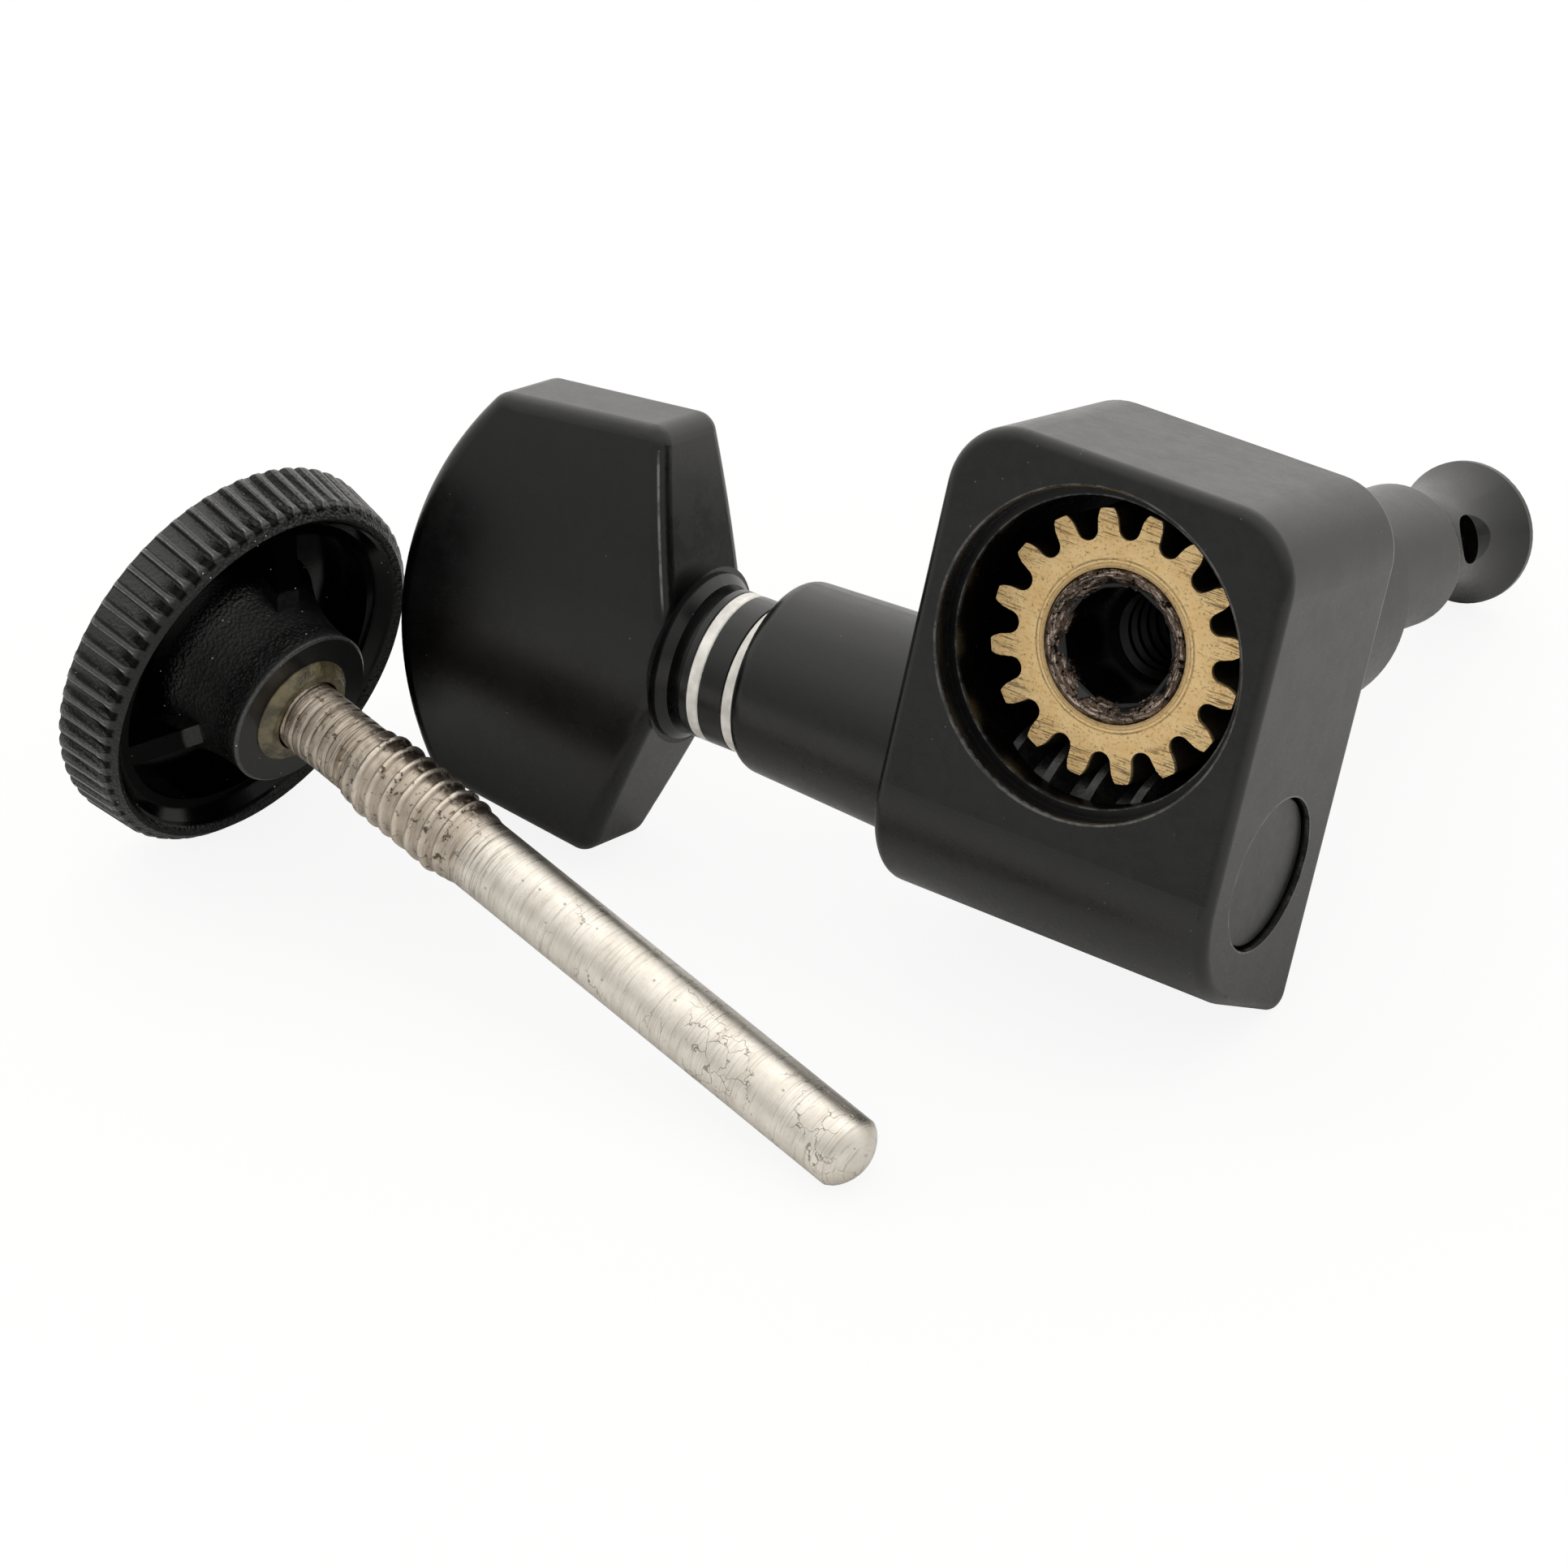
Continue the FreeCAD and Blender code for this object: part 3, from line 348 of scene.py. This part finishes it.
def plain(name, tone, rough, metallic=0.0, grain=0.01, scale=8.0, tone_share=0.15):
    """A finish with fine grain and a slight change of tone."""
    s = Shader(name)
    tuner = s.tuner()
    fine = s.noise(tuner, scale, 3.0, 0.6)
    broad = s.noise(tuner, 1.3, 2.0, 0.5)
    dark, light = (tuple(c * share for c in tone[:3]) + (1,)
                   for share in (1 - tone_share, 1 + tone_share))
    shade = s.mix(s.ramp(broad, 0.3, 0.7), dark, light)
    roughness = s.ramp(fine, 0.3, 0.7, rough - 0.06, rough + 0.06)
    return s.finish(shade, roughness, metallic, s.bump(fine, grain))


def brass_wheel():
    """Turned brass: pits, circles round the bore, scratched teeth, painted shade behind the face.
    """
    s = Shader("wheel_brass")
    tuner = s.tuner()
    radius, angle, z = s.from_axis(tuner)
    pits = s.noise(tuner, 8.0, 4.0, 0.7)
    dots = s.specks(tuner, 5.5, 0.2, 0.08)
    stain = s.noise(tuner, 1.2, 3.0, 0.6)
    circles = s.most(s.ridge(radius, 3.42, 0.045), s.times(s.ridge(radius, 3.27, 0.03), 0.7))
    hatch = s.noise(s.stretch(tuner, (0.7, 17.0, 1.0), (0, 0, math.radians(-4))), 1.0, 5.0, 0.75)
    on_teeth = s.ramp(radius, 4.1, 4.5)
    scratches = s.times(s.ramp(hatch, 0.55, 0.6), s.line(on_teeth, 0.75, 0.1))
    near_bore = s.ramp(radius, 3.32, 3.1)
    shaded_behind_face = s.ramp(z, -WHEEL_FACE + 0.03, -WHEEL_FACE + 0.25)
    tone = s.mix(s.ramp(stain, 0.3, 0.7), colour(244, 206, 143), colour(251, 219, 161))
    tone = s.mix(s.times(s.ramp(pits, 0.54, 0.68), 0.85), tone, colour(160, 124, 78))
    tone = s.mix(s.times(dots, 0.5), tone, colour(110, 84, 52))
    tone = s.mix(s.times(scratches, 0.75), tone, colour(128, 98, 60))
    tone = s.mix(s.times(circles, s.ramp(stain, 0.42, 0.6, 0.15, 0.6)), tone, colour(120, 92, 56))
    tone = s.mix(s.times(near_bore, 0.55), tone, colour(120, 96, 62))
    # Painted shade: the teeth behind the face go nearly black
    tone = s.mix(s.times(shaded_behind_face, 0.97), tone, grey(0.012))
    height = s.plus(s.times(pits, -0.8), s.times(scratches, -0.9))
    height = s.minus(height, s.times(circles, 1.2))
    return s.finish(tone, s.ramp(pits, 0.3, 0.7, 0.38, 0.5), 0.45, s.bump(height, 0.02))


def rod_metal():
    """Worn nickel: turned rings, grimy threads, one tarnished side, fine curls on the shank."""
    s = Shader("rod_nickel")
    rod = s.at(SCREW_AT, SCREW_TURN)
    radius, angle, z = s.from_axis(rod)
    sine, cosine = s.math("SINE", angle), s.math("COSINE", angle)
    ring = s.join(s.times(sine, 0.4), s.times(cosine, 0.4), s.times(z, 9.0))
    wide_ring = s.join(s.times(sine, 0.3), s.times(cosine, 0.3), s.times(z, 5.0))
    lines = s.noise(ring, 1.6, 5.0, 0.75)
    bold = s.ramp(s.noise(wide_ring, 1.4, 5.0, 0.75), 0.52, 0.6)
    turned = s.most(s.ramp(z, 10.2, 9.2), s.span(z, (15.0, 15.8), (19.5, 16.5)))
    faint = s.noise(ring, 0.25, 3.0, 0.6)
    broad = s.noise(rod, 0.9, 3.0, 0.6)
    grime = s.noise(rod, 2.3, 5.0, 0.75)
    pits = s.specks(rod, 2.2, 0.16, 0.3)
    in_thread = s.ramp(z, 17.5, 15.6)
    dirt = s.times(s.ramp(grime, 0.56, 0.64), s.line(in_thread, 0.8, 0.06))
    one_side = s.ramp(s.math("COSINE", s.minus(angle, math.radians(150))), 0.8, 0.93)
    tarnish = s.times(one_side, s.span(z, (8.8, 10.4), (16.6, 15.4)),
                      s.ramp(s.noise(rod, 2.4, 4.0, 0.7), 0.36, 0.5),
                      s.ramp(radius, 1.79, 1.7, 0.2, 0.9))
    valley = s.times(s.ramp(radius, 1.76, 1.64), in_thread)
    wander = s.add("VectorMath", operation="ADD")
    s.put(wander.inputs[0], rod)
    s.put(wander.inputs[1], s.join(*(s.noise(rod, scale) for scale in (1.7, 1.3, 2.1))))
    curls = s.ramp(s.cells(wander.outputs[0], 1.1, "DISTANCE_TO_EDGE")["Distance"], 0.024, 0.01)
    patches = s.times(s.ramp(s.noise(rod, 0.5), 0.5, 0.56), s.ramp(z, 20.0, 24.0))
    tone = s.mix(s.ramp(broad, 0.3, 0.7), colour(226, 219, 207), colour(240, 234, 224))
    tone = s.mix(s.times(s.ramp(lines, 0.53, 0.62), 0.36), tone, colour(132, 122, 110))
    tone = s.mix(s.times(bold, s.line(turned, 0.75, 0.06)), tone, colour(112, 102, 90))
    tone = s.mix(s.times(in_thread, 0.34), tone, colour(184, 158, 128))
    tone = s.mix(dirt, tone, colour(62, 50, 40))
    tone = s.mix(s.times(pits, 0.5), tone, colour(120, 112, 104))
    tone = s.mix(tarnish, tone, colour(46, 37, 30))
    tone = s.mix(s.times(valley, 0.3), tone, colour(96, 80, 64))
    tone = s.mix(s.times(curls, patches, 0.7), tone, colour(104, 94, 84))
    height = s.plus(s.times(lines, 0.9), s.times(pits, -0.6),
                    s.times(grime, s.times(in_thread, 1.5)))
    roughness = s.plus(s.ramp(faint, 0.3, 0.7, 0.26, 0.36), s.times(dirt, 0.3))
    return s.finish(tone, roughness, 1.0, s.bump(height, 0.028))


def knob_plastic():
    """Black moulded plastic: pebbled rim and hub, smooth cup and hub face, paler flute edges, a
    painted highlight round the hub's face, painted shade where the flutes run out.
    """
    s = Shader("knob_black")
    knob = s.at(SCREW_AT, SCREW_TURN)
    radius, angle, z = s.from_axis(knob)
    pebble = s.cells(knob, 7.5, "SMOOTH_F1")["Distance"]
    soft = s.noise(knob, 9.0, 3.0, 0.6)
    # Where the knob's forms are
    rim = s.ramp(radius, 7.35, 7.6)
    band = s.times(rim, s.ramp(z, 2.6, 2.85))
    hub_cone = s.ramp(s.line(z, HUB_TAPER, radius), 5.2, 5.05)
    hub_side = s.times(s.ramp(z, 1.4, 2.6), s.times(s.ramp(radius, 3.4, 3.5), hub_cone))
    hub_face = s.ramp(z, 5.3, 5.5)
    hub_edge_highlight = s.times(s.ridge(radius, 3.44, 0.08), s.ramp(z, 5.3, 5.45))
    ribs = s.times(s.ramp(radius, 7.0, 6.8), s.ramp(z, 1.0, 1.2), s.minus(1.0, hub_cone))
    fluted = s.times(s.ramp(radius, 7.9, 8.1), s.ramp(z, 2.9, 2.7))
    grained = s.most(rim, hub_side)
    # The flutes: place in one pitch, distance from the middle of its crest, and their ends
    outer = s.line(z, KNOB_TAPER, radius)
    in_pitch = s.math("FRACT", s.line(angle, FLUTES / TURN, FLUTES - FLUTE_TURN * FLUTES / 360))
    from_crest = s.times(s.math("ABSOLUTE", s.minus(in_pitch, 0.5)), FLUTE_PITCH)
    crest = s.ramp(outer, 8.38, 8.46)
    edges = s.times(s.ridge(from_crest, 0.085, 0.04), s.ramp(outer, 8.3, 8.42))
    edges = s.times(edges, s.times(s.ramp(soft, 0.3, 0.5), s.ramp(z, 2.75, 2.6)))
    edges = s.times(edges, s.ramp(in_pitch, 0.48, 0.52, 0.3, 1.0))
    run_out = s.times(s.span(z, (1.5, 2.4), (3.0, 2.9)), s.ramp(radius, 7.7, 7.85))
    # Painted shade in the flutes' grooves where they run out
    hollow_shade = s.times(s.ramp(from_crest, 0.18, 0.28), run_out)
    dust = s.most(s.specks(knob, 2.2, 0.1, 0.05), s.specks(knob, 5.0, 0.2, 0.03))
    tone = s.mix(rim, grey(0.0008), grey(0.022))
    tone = s.mix(hub_face, tone, grey(0.005))
    tone = s.mix(hub_side, tone, s.mix(s.ramp(pebble, 0.1, 0.6), grey(0.008), grey(0.0015)))
    tone = s.mix(band, tone, grey(0.007))
    tone = s.mix(s.times(crest, 0.5), tone, grey(0.06))
    tone = s.mix(edges, tone, grey(0.2))
    # Painted shade where the flutes run out
    tone = s.mix(hollow_shade, tone, grey(0.001))
    # Painted highlight round the edge of the hub's face
    tone = s.mix(s.times(hub_edge_highlight, s.ramp(soft, 0.3, 0.6, 0.3, 1.0)), tone, grey(0.055))
    tone = s.mix(dust, tone, colour(190, 186, 176))
    shine = s.line(s.most(rim, hub_side, hub_face), 0.38, 0.14)
    # Painted shade: the ribs in the cup and the flutes' run-outs reflect less
    for dimmed, share in ((ribs, -0.75), (band, -0.3), (hollow_shade, -0.85)):
        shine = s.times(shine, s.line(dimmed, share, 1.0))
    smoothed = s.math("MINIMUM", s.times(fluted, -0.7), s.times(hub_side, -0.87))
    coarse = s.times(grained, s.plus(1.0, smoothed))
    height = s.times(coarse, s.plus(s.times(pebble, 1.6), soft))
    height = s.plus(height, s.times(soft, 0.06))
    roughness = s.plus(s.line(grained, 0.22, 0.11), s.times(hub_face, 0.12))
    return s.finish(tone, roughness, 0.0, s.bump(height, 0.05), Specular_IOR_Level=shine)


def rim_metal():
    """Bare steel of the staked post end, torn and heat stained."""
    s = Shader("post_rim_steel")
    tuner = s.tuner()
    radius, angle, z = s.from_axis(tuner)
    around = s.join(s.times(angle, 2.2), s.times(radius, 5.0), 0.0)
    torn = s.noise(around, 1.6, 5.0, 0.75)
    lumps = s.noise(tuner, 3.2, 4.0, 0.7)
    stain = s.noise(tuner, 1.3, 3.0, 0.6)
    tone = s.mix(s.ramp(stain, 0.35, 0.65), colour(80, 70, 62), colour(122, 104, 92))
    tone = s.mix(s.times(s.ramp(torn, 0.51, 0.58), 0.9), tone, colour(216, 198, 184))
    tone = s.mix(s.ramp(lumps, 0.53, 0.62), tone, colour(22, 18, 16))
    height = s.plus(torn, s.times(lumps, 1.4))
    return s.finish(tone, s.ramp(lumps, 0.3, 0.7, 0.18, 0.36), 1.0, s.bump(height, 0.07))


def worm_metal():
    """Dark oiled steel with small bright spots."""
    s = Shader("worm_steel")
    tuner = s.tuner()
    fine = s.noise(tuner, 7.0, 4.0, 0.7)
    patch = s.noise(tuner, 1.6, 3.0, 0.6)
    tone = s.mix(s.ramp(patch, 0.3, 0.7), grey(0.02), grey(0.05))
    tone = s.mix(s.ramp(fine, 0.62, 0.72), tone, grey(0.22))
    return s.finish(tone, s.ramp(fine, 0.3, 0.7, 0.24, 0.36), 0.6, s.bump(fine, 0.015))


def dress(material, *names):
    """Give these nodes of the CAD the material."""
    for name in names:
        mesh = nodes[name].data
        mesh.materials.clear()
        mesh.materials.append(material)


dress(satin_black("case_black", rough=0.28, level=0.52, speck_share=0.03, sheen=0.016, brushed=0.5,
                  edges=case_edge_highlights, shade_mask=chamber_shade),
      "gear_case", "locating_pin_near", "locating_pin_far")
dress(satin_black("button_black", base=0.001, rough=0.27, grain=0.0015, sheen=0.006,
                  edges=button_edge_highlight),
      "button")
dress(satin_black("post_black", base=0.002, rough=0.27, grain=0.003, sheen=0.01, shade_mask=post_bore_shade),
      "string_post")
dress(satin_black("plug_black", base=0.006, rough=0.33, grain=0.008, level=0.6, shade_mask=plug_gap),
      "worm_plug")
dress(satin_black("spacer_black", rough=0.25, grain=0.003), "spacer_ring")
dress(satin_black("collar_black", rough=0.25, grain=0.003), "collar_washer")
dress(knob_plastic(), "thumb_knob")
dress(brass_wheel(), "worm_wheel")
rod_steel = rod_metal()
dress(rod_steel, "lock_rod")
dress(plain("washer_pale", colour(242, 239, 232), 0.5, scale=6.0, grain=0.03),
      "inner_washer", "outer_washer")
dress(plain("glue_yellow", colour(98, 90, 66), 0.26, scale=2.2, grain=0.12, tone_share=0.5),
      "glue_bead")
dress(plain("steel", colour(150, 148, 145), 0.35, 1.0),
      "worm_thrust_washer", "worm_end_washer", "wheel_thrust_washer", "button_screw")
dress(worm_metal(), "worm_shaft")
dress(plain("bearing_bronze", colour(170, 140, 90), 0.4, 1.0), "neck_sleeve", "boss_sleeve")


# Pieces
def piece(name, verts, faces, place, material):
    """A smooth mesh object from points in millimetres in the frame of the given place."""
    points = np.c_[verts * MM, np.ones(len(verts))] @ np.array(place).T
    mesh = bpy.data.meshes.new(name)
    mesh.from_pydata(points[:, :3].tolist(), [], faces)
    mesh.materials.append(material)
    mesh.update()
    mesh.polygons.foreach_set("use_smooth", [True] * len(mesh.polygons))
    item = bpy.data.objects.new(name, mesh)
    bpy.context.scene.collection.objects.link(item)
    return item


def rings(radius, angle, height):
    """Points round the z axis, ring after ring."""
    radius, angle, height = np.broadcast_arrays(radius, angle, height)
    return np.stack([radius * np.cos(angle), radius * np.sin(angle), height], -1).reshape(-1, 3)


def ring_faces(rows, columns):
    """Quads between rings that each have this number of columns."""
    faces = []
    for i in range(rows - 1):
        for j in range(columns):
            a, b = i * columns + j, i * columns + (j + 1) % columns
            faces.append((a, b, b + columns, a + columns))
    return faces


def waves(rng, count, angle, height, reach):
    """A smooth seeded noise over the angle and the height, about -1 to 1."""
    total = np.zeros(np.broadcast(angle, height).shape)
    for _ in range(count):
        turns = rng.integers(0, 9)
        slope = rng.uniform(0.2, 1.0) * reach
        total += np.sin(turns * angle + slope * height + rng.uniform(0, 6.3))
    return total / math.sqrt(count)


def way_round(start, angle):
    """The shorter way round from the start to each angle, negative if it is backwards."""
    return (angle - start + math.pi) % TURN - math.pi


def thread_height(z, angle, start, end, pitch, crest, foot):
    """0 in the thread's valley, 1 on its crest, faded in and out over its first and last turn."""
    along = (z - start - pitch * angle / TURN + pitch / 2) % pitch - pitch / 2
    rise = np.clip((foot - abs(along)) / (foot - crest), 0, 1)
    rise = rise * rise * (3 - 2 * rise)
    fade = np.clip((z - start) / pitch + 0.5, 0, 1) * np.clip((end - z) / pitch + 0.5, 0, 1)
    return rise * fade


def lock_rod():
    """The thumb screw's rod with both threads worn and nicked, in place of the CAD's clean one."""
    rng = np.random.default_rng(5)
    sides, thread_step, shank_step, shank_blend, thread_radius = 132, 0.035, 0.7, 0.35, 1.7
    tip = SHANK_END + TIP_BEVEL
    angle = np.linspace(0, TURN, sides, endpoint=False)[None, :]
    heights = np.r_[ROD_START, ROD_SEAT_END - 0.01, np.arange(ROD_SEAT_END, 16.6, thread_step),
                    np.arange(17, SHANK_END, shank_step), SHANK_END, 37.42, tip]
    z = heights[:, None]
    wear = waves(rng, 14, angle, z, 3.0)
    core = np.where(z < ROD_SEAT_END, SEAT_RADIUS, np.where(z < FINE_END, FINE_CORE, COARSE_CORE))
    blend = np.clip((z - COARSE_END) / shank_blend, 0, 1)
    radius = core * (1 - blend) + SHANK_RADIUS * blend
    # Height, start, end, pitch, half crest, half foot, and the shares that stay and that wear
    fine = 0.1, 5.5, 9.6, 0.5, 0.15, 0.25, 0.8, 0.2
    coarse = 0.21, 10.1, 15.4, 0.8, 0.05, 0.23, 0.92, 0.09
    for high, start, end, pitch, crest, foot, stays, wears in (fine, coarse):
        thread = thread_height(z, angle, start, end, pitch, crest, foot)
        radius = radius + high * thread * (stays + wears * wear)
    nicks = 0
    for _ in range(90):
        at_z, at_angle = rng.uniform(5.5, 15.8), rng.uniform(0, TURN)
        wide, long = rng.uniform(0.05, 0.16), rng.uniform(0.05, 0.3)
        near = -((z - at_z) / wide) ** 2 - (way_round(at_angle, angle) * thread_radius / long) ** 2
        nicks = nicks + rng.uniform(0.03, 0.09) * np.exp(near)
    bevel_slope = (SHANK_RADIUS - TIP_RADIUS) / TIP_BEVEL
    bevel = SHANK_RADIUS - (z - SHANK_END) * bevel_slope
    radius = np.where(z > SHANK_END + 0.05, bevel, radius - nicks)
    # The domed tip: part of a ball, ring by ring towards its middle
    ball = (TIP_RADIUS ** 2 + DOME_HIGH ** 2) / (2 * DOME_HIGH)
    dome = TIP_RADIUS * (1 - np.linspace(0.06, 0.985, 12)[:, None])
    dome_z = tip + DOME_HIGH - ball + np.sqrt(ball ** 2 - dome ** 2)
    verts = np.concatenate([rings(radius, angle, z), rings(dome, angle, dome_z)])
    faces = ring_faces(len(verts) // sides, sides)
    faces.append(tuple(reversed(range(sides))))
    faces.append(tuple(range(len(verts) - sides, len(verts))))
    rod = piece("worn_rod", verts, faces, SCREW, rod_steel)
    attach(rod, "thumb_screw")
    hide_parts("lock_rod")


def staked_rim():
    """Torn rim of the post, pressed over the wheel, its inner edge following the socket."""
    rng = np.random.default_rng(8)
    sides, ripples = 320, 60
    socket_flat, socket_corner, rim_radius, eighth = 2.27, 2.5, 3.07, TURN / 8
    angle = np.linspace(0, TURN, sides, endpoint=False)
    across = (angle - math.radians(SOCKET_TURN + POST_TURN)) % eighth - eighth / 2
    ragged = waves(rng, 12, angle, 0, 1.0) * 0.03
    for _ in range(70):
        off = way_round(rng.uniform(0, TURN), angle)
        ragged = ragged + rng.uniform(-0.06, 0.05) * np.exp(-(off / rng.uniform(0.01, 0.05)) ** 2)
    inner = np.minimum(socket_flat / np.cos(across), socket_corner) - 0.03 + ragged
    outer = rim_radius + 0.006 * waves(rng, 10, angle, 0, 1.0)
    # The section from the outer edge to the inner one: how deep the rolled rim lies at each share
    shares = np.r_[np.linspace(0, 1, 26), 1.0]
    roll = np.interp(shares, (0, 0.06, 0.16, 0.3, 0.42, 0.55, 0.7, 0.85, 1.0),
                     (0.16, 0.06, -0.02, -0.04, -0.02, 0.06, 0.2, 0.38, 0.56))
    roll[-1] = 0.95
    shares, roll = shares[:, None], roll[:, None]
    ripple = np.zeros((len(shares), sides))
    for _ in range(ripples):
        turns, slope = rng.integers(3, 42), rng.uniform(-26, 26)
        ripple += np.sin(turns * angle + slope * shares + rng.uniform(0, 6.3)) / math.sqrt(ripples)
    ripple *= 0.022 * np.sin(shares * math.pi)
    rear = -WHEEL_FACE - POST_PROUD
    verts = rings(outer * (1 - shares) + inner * shares, angle, rear + roll + ripple)
    rim = piece("staked_rim", verts, ring_faces(len(shares), sides), TUNER, rim_metal())
    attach(rim, "post")


lock_rod()
staked_rim()

# Floor: white to the camera, with the object's soft shadow
reach = 3.0
corners = [(-reach, -reach, 0), (reach, -reach, 0), (reach, reach, 0), (-reach, reach, 0)]
floor_mesh = bpy.data.meshes.new("floor")
floor_mesh.from_pydata(corners, [], [(0, 1, 2, 3)])
floor = bpy.data.objects.new("floor", floor_mesh)
bpy.context.scene.collection.objects.link(floor)
s = Shader("floor_white")
diffuse, glow = s.add("BsdfDiffuse"), s.add("Emission")
diffuse.inputs["Color"].default_value = (0.8, 0.799, 0.793, 1)
glow.inputs["Strength"].default_value = 1.02
glow_share = s.times(s.add("LightPath").outputs["Is Camera Ray"], 0.87)
s.show(s.pick(glow_share, diffuse.outputs[0], glow.outputs[0]))
floor_mesh.materials.append(s.material)

# World: a pale tent, brighter above and behind, dimmer in front, and plain white to the camera
world = bpy.data.worlds.new("tent")
bpy.context.scene.world = world
sky = Nodes(world, "OutputWorld")
toward = sky.add("VectorMath", operation="DOT_PRODUCT")
sky.put(toward.inputs[0], sky.coordinates["Generated"])
sky.put(toward.inputs[1], Vector((-0.2, 0.6, 0.77)).normalized())
tent, white = sky.add("Background"), sky.add("Background")
tent.inputs["Color"].default_value = (1.0, 0.988, 0.965, 1)
sky.put(tent.inputs["Strength"], sky.ramp(toward.outputs["Value"], -0.6, 1.0, 0.44, 1.35))
white.inputs["Color"].default_value = (1, 1, 1, 1)
sky.show(sky.pick(sky.add("LightPath").outputs["Is Camera Ray"], tent.outputs[0], white.outputs[0]))
bpy.context.scene.view_settings.view_transform = "Standard"

# Lamp: one softbox above and behind, that faces the object's middle
lamp_data = bpy.data.lights.new("back_softbox", "AREA")
lamp_data.shape = "RECTANGLE"
lamp_data.size, lamp_data.size_y = 0.9, 0.6
lamp_data.energy = 0.5
lamp_data.color = (1.0, 0.985, 0.96)
lamp = bpy.data.objects.new("back_softbox", lamp_data)
lamp.location = (-0.22, 0.42, 0.5)
toward_middle = Vector((0, 0, 0.01)) - lamp.location
lamp.rotation_euler = toward_middle.to_track_quat("-Z", "Y").to_euler()
bpy.context.scene.collection.objects.link(lamp)
